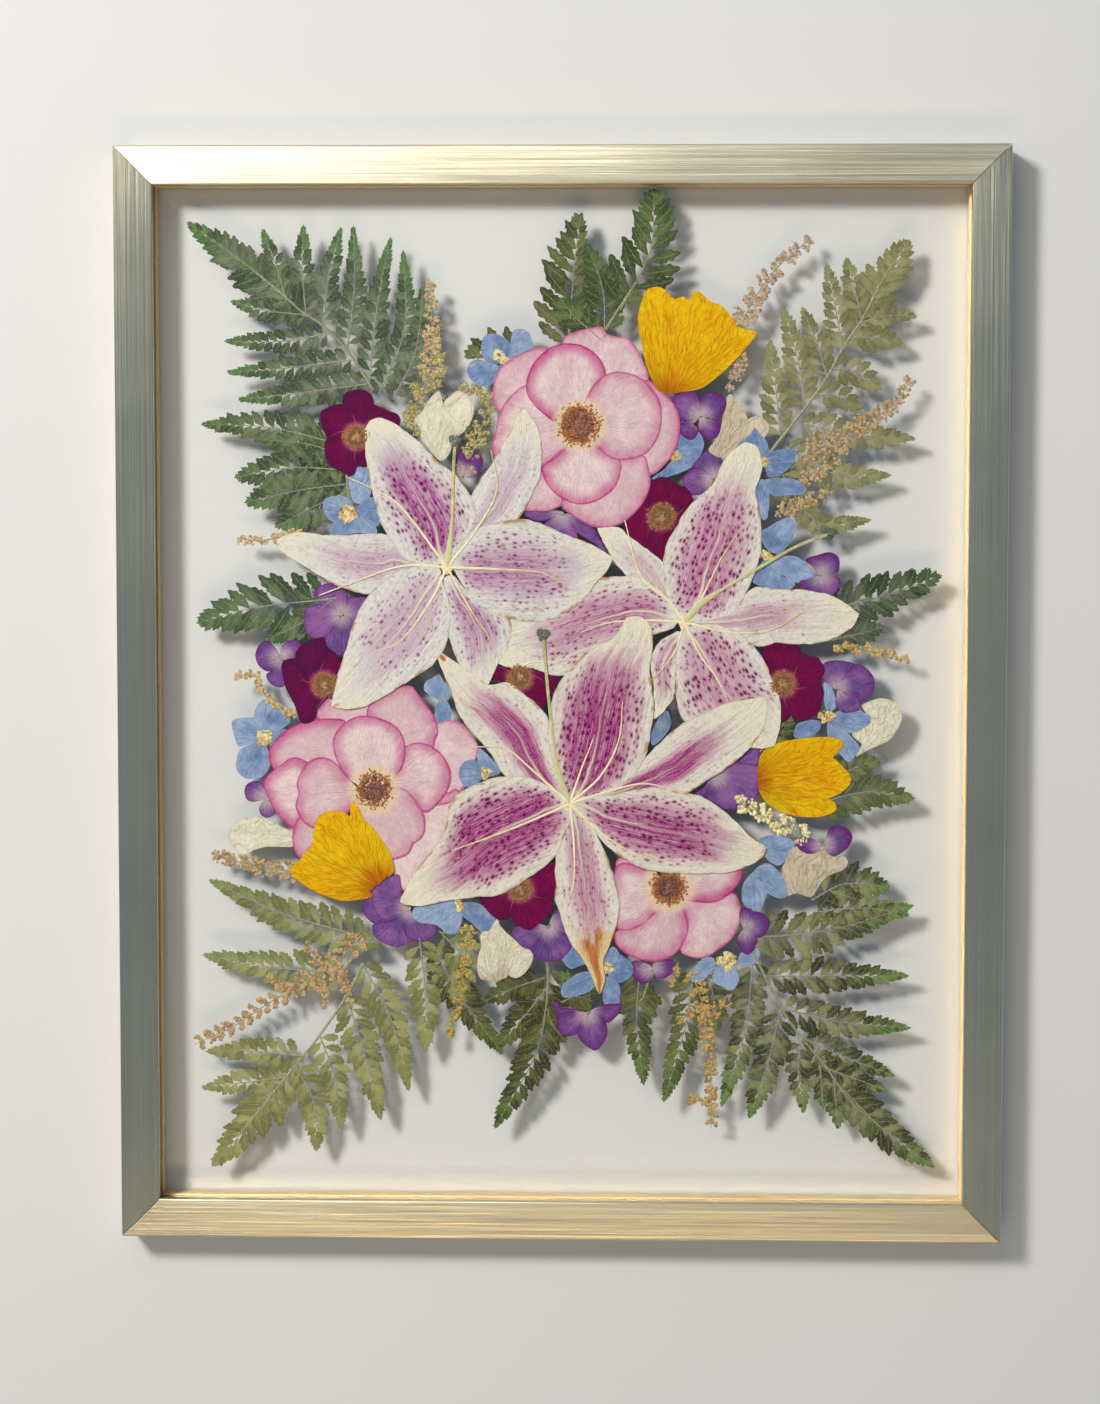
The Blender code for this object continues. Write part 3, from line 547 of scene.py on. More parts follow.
# The layer, the main stem from its tip, then each frond: how far its leaflets reach to the
# left and right of it in mm, how long its taper is, and its path from base to tip.
FERNS = {
    "fern_upper_left": (0, [240, 262, 276, 290, 300, 312, 320, 325, 345, 350, 372, 390], [
        (15, 13, 1.0, [300, 312, 240, 262, 188, 225]),
        (8, 8, 0.9, [306, 316, 263, 311, 232, 303]),
        (8, 8, 0.9, [328, 334, 280, 342, 226, 342]),
        (8.5, 8.5, 0.9, [352, 360, 290, 368, 229, 373]),
        (9, 9, 0.9, [368, 384, 310, 392, 240, 400]),
        (7, 7, 0.9, [285, 302, 276, 270, 262, 233]),
        (8, 8, 0.9, [305, 318, 301, 272, 302, 229]),
        (8, 7.5, 0.9, [322, 326, 327, 280, 339, 231]),
        (8, 8, 0.9, [346, 350, 353, 290, 352, 230]),
        (8.5, 8, 0.9, [368, 383, 377, 300, 389, 241]),
        (8, 8.5, 0.9, [378, 394, 403, 330, 402, 254]),
        (8, 7, 0.9, [392, 400, 415, 350, 421, 290]),
    ]),
    "fern_left_upper": (1, [320, 430, 342, 462, 348, 500], [
        (11, 12, 0.9, [345, 446, 270, 428, 203, 425]),
        (11, 11, 0.7, [352, 462, 310, 445, 262, 440]),
        (13, 13, 0.8, [345, 470, 290, 468, 236, 477]),
        (12, 12, 0.7, [348, 484, 300, 490, 246, 502]),
        (11, 11, 0.7, [350, 490, 310, 508, 276, 526]),
    ]),
    "fern_left_middle": (0, [300, 602, 335, 598], [
        (19, 18, 0.95, [335, 598, 250, 608, 198, 622]),
        (10, 9, 0.8, [330, 600, 305, 620, 265, 640]),
    ]),
    "fern_top_left": (0, [568, 320, 568, 345], [
        (21, 12, 0.95, [568, 350, 573, 270, 580, 216]),
        (5, 13, 0.8, [528, 366, 500, 352, 466, 357]),
        (9, 10, 0.6, [470, 440, 455, 420, 445, 400]),
    ]),
    "fern_top_right": (1, [630, 290, 605, 330], [
        (19, 20, 0.95, [620, 310, 650, 250, 653, 192]),
        (12, 11, 0.9, [604, 338, 602, 290, 588, 249]),
        (11, 9, 0.7, [600, 340, 575, 318, 560, 300]),
    ]),
    "fern_upper_right": (0, [895, 260, 880, 285, 862, 320, 845, 345, 820, 388, 768, 455], [
        (12, 13, 0.9, [868, 310, 886, 276, 909, 242]),
        (8, 7, 0.9, [862, 320, 856, 292, 847, 260]),
        (8, 8, 0.9, [843, 349, 836, 310, 827, 266]),
        (8, 8, 0.9, [827, 376, 818, 345, 803, 310]),
        (9, 9, 0.9, [805, 407, 798, 360, 783, 310]),
        (9, 8, 0.9, [781, 437, 776, 390, 770, 342]),
        (8, 7, 0.9, [860, 323, 885, 316, 915, 316]),
        (8, 8, 0.9, [850, 338, 878, 338, 901, 342]),
        (9, 9, 0.9, [832, 368, 855, 372, 880, 388]),
        (9, 9, 0.9, [815, 395, 838, 396, 860, 408]),
        (9, 9, 0.8, [800, 423, 850, 434, 913, 438]),
        (9, 9, 0.8, [785, 446, 835, 474, 889, 475]),
        (9, 9, 0.8, [771, 455, 815, 520, 869, 520]),
    ]),
    "fern_right_middle": (0, [870, 597, 835, 610], [
        (16, 14, 0.95, [825, 612, 890, 594, 940, 576]),
        (9, 8, 0.8, [830, 640, 858, 634, 883, 627]),
    ]),
    "fern_right_lower": (0, [830, 800, 805, 803], [
        (12, 12, 0.9, [810, 806, 865, 792, 913, 798]),
        (9, 9, 0.8, [812, 790, 850, 770, 880, 760]),
        (8, 8, 0.8, [760, 752, 775, 735, 792, 712]),
    ]),
    "fern_lower_right": (0, [885, 1130, 850, 1100, 825, 1065, 800, 1035, 780, 1005, 745, 935], [
        (12, 13, 1.0, [836, 1082, 885, 1130, 934, 1166]),
        (13, 13, 0.9, [748, 938, 830, 930, 912, 906]),
        (12, 12, 0.8, [812, 900, 845, 884, 888, 886]),
        (10, 10, 0.9, [815, 912, 865, 908, 907, 914]),
        (11, 11, 0.9, [764, 976, 830, 976, 907, 976]),
        (10, 10, 0.9, [782, 1008, 840, 1022, 909, 1028]),
        (9, 9, 0.9, [804, 1038, 840, 1055, 893, 1075]),
        (7, 7, 0.9, [826, 1068, 886, 1090]),
        (10, 10, 0.9, [753, 960, 745, 1030, 722, 1104]),
        (11, 11, 0.9, [781, 1006, 770, 1056, 750, 1116]),
        (8, 8, 0.9, [802, 1038, 799, 1070, 804, 1110]),
        (7, 7, 0.9, [820, 1062, 824, 1106]),
        (7, 7, 0.9, [834, 1080, 839, 1126]),
    ]),
    "fern_lower_left": (0, [240, 1130, 262, 1103, 300, 1057, 319, 1033, 345, 995, 362, 962], [
        (14, 14, 1.0, [285, 1075, 248, 1122, 212, 1163]),
        (8.5, 8.5, 0.9, [284, 1076, 203, 1086]),
        (9, 9, 0.9, [302, 1055, 250, 1050, 207, 1050]),
        (5, 5, 0.8, [272, 1092, 279, 1119]),
        (10.5, 10.5, 0.9, [294, 1065, 312, 1100, 315, 1147]),
        (9, 9, 0.9, [318, 1034, 333, 1075, 340, 1125]),
        (11, 11, 0.9, [345, 995, 364, 1055, 379, 1116]),
        (10.5, 10.5, 0.9, [361, 962, 390, 1020, 407, 1087]),
        (11, 11, 0.9, [418, 937, 424, 990, 424, 1049]),
        (10, 10, 0.7, [438, 930, 462, 960, 452, 1000]),
    ]),
    "fern_left_lower": (1, [365, 933, 352, 955, 338, 975], [
        (12, 12, 0.9, [370, 938, 280, 912, 210, 880]),
        (11.5, 11.5, 0.9, [345, 972, 270, 966, 204, 954]),
    ]),
    "fern_bottom": (0, [542, 1025, 547, 990, 546, 955], [
        (13, 14, 0.95, [548, 967, 538, 1045, 495, 1125]),
        (8, 9, 0.8, [544, 977, 517, 986, 484, 1000]),
        (9, 9, 0.8, [545, 988, 528, 1010, 496, 1046]),
        (7, 7, 0.9, [546, 1008, 552, 1025, 564, 1040]),
        (10, 10, 0.8, [433, 945, 457, 993, 500, 1051]),
        (9, 9, 0.6, [560, 1002, 575, 996, 590, 1000]),
    ]),
    "fern_bottom_right": (0, [642, 1000, 652, 968], [
        (11, 10, 0.9, [640, 965, 636, 1020, 643, 1082]),
        (11, 10, 0.9, [695, 965, 684, 1030, 664, 1099]),
        (9, 9, 0.7, [700, 965, 712, 990, 716, 1030]),
        (9, 9, 0.7, [600, 975, 580, 985, 560, 975]),
    ]),
}

# Dark, light and tip colours of each leaf: fresh green ones above, olive and faded ones below.
FERN_COLOURS = {
    "fern_upper_left": ((53, 66, 47), (110, 121, 91), (70, 127, 53)),
    "fern_left_upper": ((53, 66, 45), (106, 117, 83), (81, 119, 64)),
    "fern_left_middle": ((52, 67, 45), (97, 112, 80), (82, 114, 67)),
    "fern_top_left": ((58, 64, 36), (108, 110, 68), (88, 108, 58)),
    "fern_top_right": ((52, 64, 34), (98, 108, 62), (78, 108, 48)),
    "fern_upper_right": ((104, 104, 66), (152, 146, 104), (134, 134, 88)),
    "fern_right_middle": ((44, 58, 40), (90, 102, 74), (80, 106, 66)),
    "fern_right_lower": ((74, 82, 48), (122, 126, 84), (103, 120, 69)),
    "fern_lower_right": ((50, 52, 30), (142, 140, 96), (86, 134, 56)),
    "fern_lower_left": ((107, 109, 62), (161, 159, 105), (130, 134, 74)),
    "fern_left_lower": ((102, 106, 63), (153, 153, 102), (117, 134, 78)),
    "fern_bottom": ((50, 50, 24), (98, 98, 50), (78, 108, 40)),
    "fern_bottom_right": ((59, 64, 33), (112, 114, 66), (84, 123, 48)),
}


def seen(red, green, blue):
    """Return the base colour of a part that shows in this 0 to 255 colour under the light."""
    parts = np.array((red, green, blue)) / 255
    linear = np.where(parts <= 0.04045, parts / 12.92, ((parts + 0.055) / 1.055) ** 2.4)
    return tuple(float(part) for part in np.minimum(linear, LIGHTEST))


def read_map():
    """Return the matrix that takes a corner reading to the opening's corner."""
    corners = np.array(((-1, 1), (1, 1), (1, -1), (-1, -1))) * OPENING
    rows = []
    for (across, down), (x, y) in zip(CORNER_READINGS, corners):
        rows.append([across, down, 1, 0, 0, 0, -x * across, -x * down])
        rows.append([0, 0, 0, across, down, 1, -y * across, -y * down])
    return np.append(np.linalg.solve(rows, corners.ravel()), 1).reshape(3, 3)


READ_MAP = read_map()


def placed(readings):
    """Return readings, x and y in turn, as rows of (x, y) in metres on the flowers' level.

    The map gives the point of the opening's face that covers a reading; the sight line through
    it goes on from there to the flowers, a little deeper.
    """
    readings = np.asarray(readings, float).reshape(-1, 2)
    found = np.c_[readings, np.ones(len(readings))] @ READ_MAP.T
    on_face = found[:, :2] / found[:, 2:]
    return READ_FROM + (on_face - READ_FROM) * (1 + FLOWER_DEPTH / READ_DISTANCE)


def catmull_rom(before, start, end, after, share):
    """Return the points a share of the way along the curves from start to end."""
    return 0.5 * (
        2 * start
        + (end - before) * share
        + (2 * before - 5 * start + 4 * end - after) * share**2
        + (3 * start - before - 3 * end + after) * share**3
    )


def evenly(points, count):
    """Return points spaced evenly along a row of points."""
    reach = np.append(0, np.cumsum(np.linalg.norm(np.diff(points, axis=0), axis=1)))
    stations = np.linspace(0, reach[-1], count)
    axes = [np.interp(stations, reach, points[:, axis]) for axis in range(points.shape[1])]
    return np.stack(axes, axis=1)


def curve_through(points, count):
    """Return evenly spaced points of a Catmull-Rom curve through the given ones."""
    points = np.asarray(points, float)
    padded = np.concatenate([2 * points[:1] - points[1:2], points, 2 * points[-1:] - points[-2:-1]])
    share = np.linspace(0, 1, 24, endpoint=False)[:, None, None]
    fine = catmull_rom(padded[:-3], padded[1:-2], padded[2:-1], padded[3:], share)
    fine = fine.transpose(1, 0, 2).reshape(-1, points.shape[1])
    return evenly(np.concatenate([fine, points[-1:]]), count)


def sideways_of(path):
    """Return the unit vectors that point left of a flat path, and those along it."""
    along = np.gradient(path[:, :2], axis=0)
    along /= np.linalg.norm(along, axis=1)[:, None]
    return np.stack([-along[:, 1], along[:, 0]], axis=1), along


def level_of(layer):
    """Return the middle height of one of the layers between the panes."""
    return DEEPEST_LAYER + layer * LAYER_PITCH


def stem_shape(path, half_widths, height, flatness=0.5, around=6, tone=0.5):
    """A stem or thread: an oval ring, as wide as given and flatter than wide, along a path."""
    left, _ = sideways_of(path)
    half_widths = np.broadcast_to(half_widths, len(path))[:, None]
    turn = np.linspace(0, 2 * np.pi, around, endpoint=False)
    flat = path[:, None, :2] + left[:, None, :] * (half_widths * np.cos(turn))[..., None]
    heights = np.broadcast_to(height, len(path))[:, None]
    lift = heights + half_widths * flatness * np.sin(turn)
    rings = np.concatenate([flat, lift[..., None]], axis=-1)[None]
    ends = np.array([[*path[0, :2], heights[0, 0]], [*path[-1, :2], heights[-1, 0]]])
    share = np.linspace(0, 1, len(path))[None, :, None]
    return closed_rings(rings, ends[None], along=share, tone=tone)


def leaflet_shapes(bases, directions, lengths, widths, heights, bends, tilts, tones, shares):
    """Toothed leaflets, all at once: a flat lozenge section carried from base to tip.

    At share s of its length a leaflet is w sin(pi s^b)^c wide, times a sawtooth of s, and its
    middle line bends sideways as s squared. Along the frond b falls from 1.7 to 0.7 and c rises
    from 0.62 to 1.02, so that the last leaflets are pointed and grow together at their bases.
    """
    s = np.linspace(0.03, 0.97, LEAFLET_STATIONS)
    share = shares[:, None]
    swell = np.sin(np.pi * s ** (1.7 - share)) ** (0.62 + 0.4 * share)
    teeth = 1 + 0.56 * (((s * LEAFLET_TEETH) % 1.0) - 0.5) * np.clip((s - 0.2) / 0.25, 0, 1)
    half = 0.5 * widths[:, None] * swell * teeth
    normals = np.stack([-directions[:, 1], directions[:, 0]], axis=1)
    middle = bases[:, None] + directions[:, None] * (lengths[:, None] * s)[..., None]
    middle = middle + normals[:, None] * (bends[:, None] * lengths[:, None] * s**2)[..., None]
    left = middle + normals[:, None] * half[..., None]
    right = middle - normals[:, None] * half[..., None]
    side = tilts[:, None] * half / half.max()
    level = heights[:, None] + 0.03 * MM * np.sin(np.pi * s)
    crown = np.minimum(half * 0.08, 0.05 * MM)
    corners = [
        np.concatenate([left, (level + side)[..., None]], axis=-1),
        np.concatenate([middle, (level + crown)[..., None]], axis=-1),
        np.concatenate([right, (level - side)[..., None]], axis=-1),
        np.concatenate([middle, (level - crown)[..., None]], axis=-1),
    ]
    rings = np.stack(corners, axis=2)
    tip = bases + directions * lengths[:, None] + normals * (bends * lengths)[:, None]
    poles = np.stack([np.c_[bases, heights], np.c_[tip, heights]], axis=1)
    return closed_rings(rings, poles, along=s[None, :, None], across=(1, 0, 1, 0),
                        tone=tones[:, None, None], share=shares[:, None, None])


def frond_leaflets(path, left_reach, right_reach, taper, level, random):
    """Return the values of one frond's leaflets, for leaflet_shapes.

    They stand in two rows, leaning forward, about as wide as they stand apart; their reach is
    full at the frond's base and falls off over its taper, down to fine teeth and one leaflet
    straight ahead.
    """
    length = np.linalg.norm(np.diff(path, axis=0), axis=1).sum()
    fine = np.linspace(0, 1, 300)
    envelope = np.clip((1 - fine) / taper, 0, 1) ** 0.6 * (0.8 + 0.2 * np.clip(fine / 0.25, 0, 1))
    rows = []
    for side, reach in ((1, left_reach), (-1, right_reach)):
        local = np.maximum(reach * envelope, FINEST_REACH)
        step = np.minimum((0.6 + 0.3 * fine) * local, 0.24 * local + 3.0 * MM)
        passed = np.append(0, np.cumsum(length * np.diff(fine) / step[:-1]))
        spots = np.interp(np.arange(int(passed[-1])) + (0.3 if side > 0 else 0.75), passed, fine)
        count = len(spots)
        where = spots * (len(path) - 1)
        index = np.minimum(where.astype(int), len(path) - 2)
        part = (where - index)[:, None]
        base = path[index] * (1 - part) + path[index + 1] * part
        heading = path[index + 1] - path[index]
        heading /= np.linalg.norm(heading, axis=1)[:, None]
        lean = np.radians(64 - 22 * spots + random.normal(0, 4, count)) * side
        turned = np.stack([
            heading[:, 0] * np.cos(lean) - heading[:, 1] * np.sin(lean),
            heading[:, 0] * np.sin(lean) + heading[:, 1] * np.cos(lean),
        ], axis=1)
        local, step = np.interp(spots, fine, local), np.interp(spots, fine, step)
        long = local * (1.14 + 0.35 * spots) * random.uniform(0.88, 1.1, count)
        wide = (0.84 + 0.28 * spots) * step * random.uniform(0.88, 1.08, count)
        heights = level + random.uniform(-0.08, 0.08, count) * MM
        bends = -side * random.uniform(0.0, 0.16, count)
        tilts = np.full(count, 0.03 * MM * side)
        rows.append((base, turned, long, wide, heights, bends, tilts,
                     random.uniform(0, 1, count), spots))
    aim = path[-1:] - path[-3:-2]
    aim /= np.linalg.norm(aim, axis=1)
    long, wide = LAST_LEAFLET
    rows.append((path[-1:] - aim * 1.2 * MM, aim, np.array([long]), np.array([wide]),
                 np.array([level]), np.zeros(1), np.zeros(1), np.full(1, 0.5), np.ones(1)))
    return [np.concatenate(values) for values in zip(*rows)]


def fern_green(name, dark, light, tip):
    """A dried leaf: mottled green, paler along the veins, fresher green towards its tips."""
    finish = Finish(name)
    tone, along, across = (finish.measure(key) for key in ("tone", "along", "across"))
    share = finish.measure("share")
    blotch = finish.noise(finish.place(), 110.0, 4.0, 0.65)
    fine = finish.noise(finish.place(), 1500.0, 2.0, 0.6)
    shade = blotch * 1.5 + tone * 0.5 + fine * 0.3 - along * 0.35 - 0.55
    colour = finish.mix(shade.step(0.1, 0.9), dark, light)
    colour = finish.mix(share.step(0.5, 1.0) * tone.step(0.0, 0.6) * 0.7, colour, tip)
    midrib = across.step(0.12, 0.02) * 0.45
    side_veins = ((along * 34 + across * 6).math("SINE")).step(0.7, 1.0) * 0.16
    pale = tuple(0.45 * part + 0.55 * add for part, add in zip(light, (0.42, 0.42, 0.26)))
    colour = finish.mix(midrib + side_veins, colour, pale)
    # Painted shade: a darker band along each leaflet's edge stands in for the shadow where leaflets
    # overlap.
    rim = across.step(0.82, 1.0) * 0.5
    colour = finish.mix(rim, colour, toned(dark, 0.55))
    height = fine * 0.3 + blotch * 0.5 - midrib * 0.6
    finish.set(Base_Color=colour, Roughness=0.5 + blotch * 0.25, Specular_IOR_Level=0.06,
               Normal=finish.bump(height, 0.00012))
    return finish


def fern_stem(name, light):
    """The pale, slightly woody stem of a fern leaf."""
    finish = Finish(name)
    grain = finish.noise(finish.place(), 900.0, 2.0)
    pale = tuple(0.35 * part + 0.65 * add for part, add in zip(light, (0.34, 0.33, 0.20)))
    finish.set(Base_Color=finish.mix(grain.step(0.3, 0.75), toned(pale, 0.6), pale), Roughness=0.6,
               Normal=finish.bump(grain, 0.00008))
    return finish


def add_fern(name, layer, stem, fronds, random):
    """Add one fern leaf: its leaflets and its stems in one mesh, each with a finish of its own."""
    level = level_of(layer)
    main = curve_through(placed(stem)[::-1], 2 * len(stem))
    widths = np.linspace(*MAIN_STEM_HALF_WIDTHS, len(main))
    stems = [stem_shape(main, widths, level + MAIN_STEM_LIFT)]
    end = main[int(BARE_SHARE * len(main)):]
    values = [frond_leaflets(end, TIP_REACH, TIP_REACH, TIP_TAPER, level - TIP_DROP, random)]
    for left, right, taper, readings in fronds:
        path = curve_through(placed(readings), FROND_STATIONS)
        values.append(frond_leaflets(path, left * MM, right * MM, taper, level, random))
        widths = np.linspace(*FROND_STEM_HALF_WIDTHS, len(path))
        stems.append(stem_shape(path, widths, level + FROND_STEM_LIFT))
    dark, light, tip = (seen(*part) for part in FERN_COLOURS[name])
    leaflets = leaflet_shapes(*[np.concatenate(parts) for parts in zip(*values)])
    add_piece(f"{name}_leaf", "fern", [
        (leaflets, fern_green(f"{name}_green", dark, light, tip)),
        (joined(stems), fern_stem(f"{name}_stem", light)),
    ], name)


fern_random = np.random.default_rng(3)
for fern, (layer, stem, fronds) in FERNS.items():
    add_fern(fern, layer, stem, fronds, fern_random)

# ---------------------------------------------------------------------------------------------
# The sprigs: goldenrod-like flower heads dried tan and yellow-green, hundreds of tiny round
# buds crowded along thin branching stems.
# ---------------------------------------------------------------------------------------------

BUD_RADIUS = 0.78 * MM
BUDS_PER_MM = 3.0
TWIG_PITCH = 1.3 * MM
TWIG_HALF_WIDTH = 0.16 * MM
BRANCH_STATIONS = 20
BRANCH_HALF_WIDTHS = (0.45 * MM, 0.15 * MM)

# The layer, the bud colour, then each branch: its width in mm at tip and base, and its path.
SPRIGS = {
    "sprig_upper_left": (1, (178, 156, 112), [
        (4, 14, [428, 279, 431, 330, 428, 378]),
    ]),
    "sprig_upper_green": (0, (156, 146, 92), [
        (12, 20, [434, 352, 424, 396, 412, 436]),
        (5, 13, [455, 387, 487, 398, 478, 435, 462, 476]),
    ]),
    "sprig_upper_right": (0, (172, 150, 122), [
        (5, 15, [813, 237, 783, 262, 760, 290, 743, 320, 732, 345]),
        (4, 8, [745, 350, 738, 372, 725, 388]),
    ]),
    "sprig_right": (1, (170, 146, 106), [
        (5, 14, [913, 377, 893, 405, 850, 432, 800, 458]),
        (5, 9, [830, 490, 812, 500, 775, 512]),
        (4, 8, [848, 446, 826, 470, 800, 478]),
    ]),
    "sprig_lower_left": (2, (170, 144, 98), [
        (7, 14, [193, 1043, 235, 1023, 270, 1000, 330, 965, 360, 935]),
        (4, 8, [265, 975, 290, 990]),
        (4, 8, [305, 942, 322, 970]),
        (4, 8, [325, 1008, 318, 972]),
        (4, 8, [352, 1005, 335, 962]),
    ]),
    "sprig_bottom": (1, (172, 142, 80), [
        (5, 10, [711, 1128, 711, 1090, 706, 1020, 692, 972]),
        (4, 10, [727, 1000, 705, 1017]),
        (4, 8, [680, 1020, 702, 1005]),
        (5, 6, [690, 1098, 709, 1103]),
        (3, 4, [672, 985, 678, 962]),
    ]),
    "sprig_cream": (2, (225, 215, 165), [
        (8, 12, [737, 802, 770, 817, 808, 838]),
    ]),
    "sprig_left": (2, (188, 162, 112), [
        (3, 5, [236, 538, 262, 540, 300, 532]),
    ]),
    "sprig_far_right": (1, (186, 158, 92), [
        (3, 6, [912, 661, 880, 652, 835, 645]),
    ]),
    "sprig_left_lower": (1, (166, 144, 106), [
        (5, 12, [210, 853, 250, 864, 300, 872]),
    ]),
    "sprig_left_curl": (2, (186, 162, 106), [
        (4, 5, [233, 677, 252, 674, 266, 697, 293, 716]),
    ]),
    "sprig_yellow_green": (1, (164, 144, 66), [
        (3, 9, [447, 1040, 460, 985, 467, 925]),
    ]),
}


def bead_shapes(centres, radii, flatness, tones, owns, lobes=0.12, around=5):
    """Small rounded bodies, all at once: rings of an ellipsoid, slightly lobed.

    At polar angle p and turn a a point is radius sin p from the axis, times 1 + lobes cos 5a,
    and radius flatness cos p high. With five points round it a bead has no lobes, and is only
    that much wider.
    """
    polar = np.radians((34, 90, 146))[:, None]
    turn = np.linspace(0, 2 * np.pi, around, endpoint=False)[None]
    out = np.sin(polar) * (1 + lobes * np.cos(5 * turn))
    unit = np.stack([out * np.cos(turn), out * np.sin(turn),
                     np.broadcast_to(flatness * np.cos(polar), out.shape)], axis=-1)
    rings = centres[:, None, None] + radii[:, None, None, None] * unit
    lift = np.stack([np.zeros_like(radii), np.zeros_like(radii), radii * flatness], axis=-1)
    poles = np.stack([centres + lift, centres - lift], axis=1)
    return closed_rings(rings, poles, tone=tones[:, None, None], own=owns[:, None, None],
                        along=np.cos(polar) / 2 + 0.5)


def sprig_parts(branches, level, random):
    """Return the buds' and the stems' meshes of one sprig.

    Each branch has a stem down its middle; twigs leave it to the left and right in turn,
    leaning towards its tip, and buds sit along the twigs.
    """
    stems, centres, radii = [], [], []
    for tip_width, base_width, readings in branches:
        path = curve_through(placed(readings)[::-1], BRANCH_STATIONS)
        length = np.linalg.norm(np.diff(path, axis=0), axis=1).sum()
        widths = np.linspace(*BRANCH_HALF_WIDTHS, BRANCH_STATIONS)
        stems.append(stem_shape(path, widths, level))
        left, along = sideways_of(path)
        twigs = max(6, int(length / TWIG_PITCH))
        for number in range(twigs):
            share = min(max((number + random.uniform(-1.5, 2.5)) / twigs, 0), 1)
            at = min(int(share * (BRANCH_STATIONS - 1)), BRANCH_STATIONS - 2)
            side = 1 if number % 2 else -1
            reach = (base_width * (1 - share) + tip_width * share) / 2 * MM
            reach *= random.uniform(0.75, 1.1)
            lean = along[at] * 0.75 + left[at] * side
            lean /= np.linalg.norm(lean)
            start = path[at] + along[at] * random.uniform(-0.5, 0.5) * MM
            ends = np.stack([start, start + lean * reach * 0.6 + along[at] * 0.1 * reach,
                             start + lean * reach])
            height = level + random.uniform(-0.1, 0.1) * MM
            stems.append(stem_shape(ends, TWIG_HALF_WIDTH, height))
            count = max(4, int(BUDS_PER_MM * reach / MM))
            spots = random.uniform(0.15, 1.05, count)[:, None]
            spread = random.normal(0, 0.55 * MM, (count, 2))
            flat = start + lean * reach * spots + spread
            centres.append(np.c_[flat, level + random.uniform(-0.2, 0.1, count) * MM])
            radii.append(BUD_RADIUS * random.uniform(0.65, 1.25, count))
    centres, radii = np.concatenate(centres), np.concatenate(radii)
    beads = bead_shapes(centres, radii, 0.36, random.uniform(0, 1, len(radii)),
                        random.uniform(0, 1, len(radii)))
    return beads, joined(stems)


def bud_finish(name, colour):
    """Dried buds: each its own tone, painted shade darkening it from its crown to its underside."""
    finish = Finish(name)
    tone, high = finish.measure("tone"), finish.measure("along")
    grain = finish.noise(finish.place(), 2600.0, 2.0)
    warm = toned(colour, (0.62, 0.48, 0.36))
    shade = finish.mix(tone.step(0.0, 0.75), warm, toned(colour, 1.25))
    # Painted shade: each bud is dark towards its underside and keeps its own tone on the crown.
    crown = high.step(0.2, 0.95) * 0.85 + grain * 0.2
    finish.set(Base_Color=finish.mix(crown, toned(colour, 0.22), shade),
               Roughness=0.65, Normal=finish.bump(grain, 0.0002))
    return finish


def add_sprig(name, layer, colour, branches, random):
    """Add one sprig, buds and stems."""
    buds, stems = sprig_parts(branches, level_of(layer), random)
    colour = seen(*colour)
    stem = toned(colour, (0.42, 0.46, 0.42))
    nodes = [name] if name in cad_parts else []
    add_piece(f"{name}_head", "sprig", [
        (buds, bud_finish(f"{name}_buds", colour)),
        (stems, fern_stem(f"{name}_stem", stem)),
    ], *nodes)


sprig_random = np.random.default_rng(11)
for sprig, (layer, colour, branches) in SPRIGS.items():
    add_sprig(sprig, layer, colour, branches, sprig_random)

# ---------------------------------------------------------------------------------------------
# The roses: single flowers opened out flat. The pink-edged ones are cream inside and magenta
# at every petal's rim; the small ones are burgundy. A disc of dried stamens lies in each.
# ---------------------------------------------------------------------------------------------

PETAL_RINGS = 10
PETAL_BACK_RINGS = (0.85, 0.4)
PETAL_TURNS = 56
PETAL_HALF_THICKNESS = 0.02 * MM
PETAL_STEP = 0.045 * MM
RUFFLE = 0.1 * MM
RUFFLE_WAVES = (5, 9, 14, 21)
ANTHERS = 460
THREADS = 60
THREAD_HALF_WIDTH = 0.07 * MM
THREAD_LIFT = 0.24 * MM
DISCS = 12

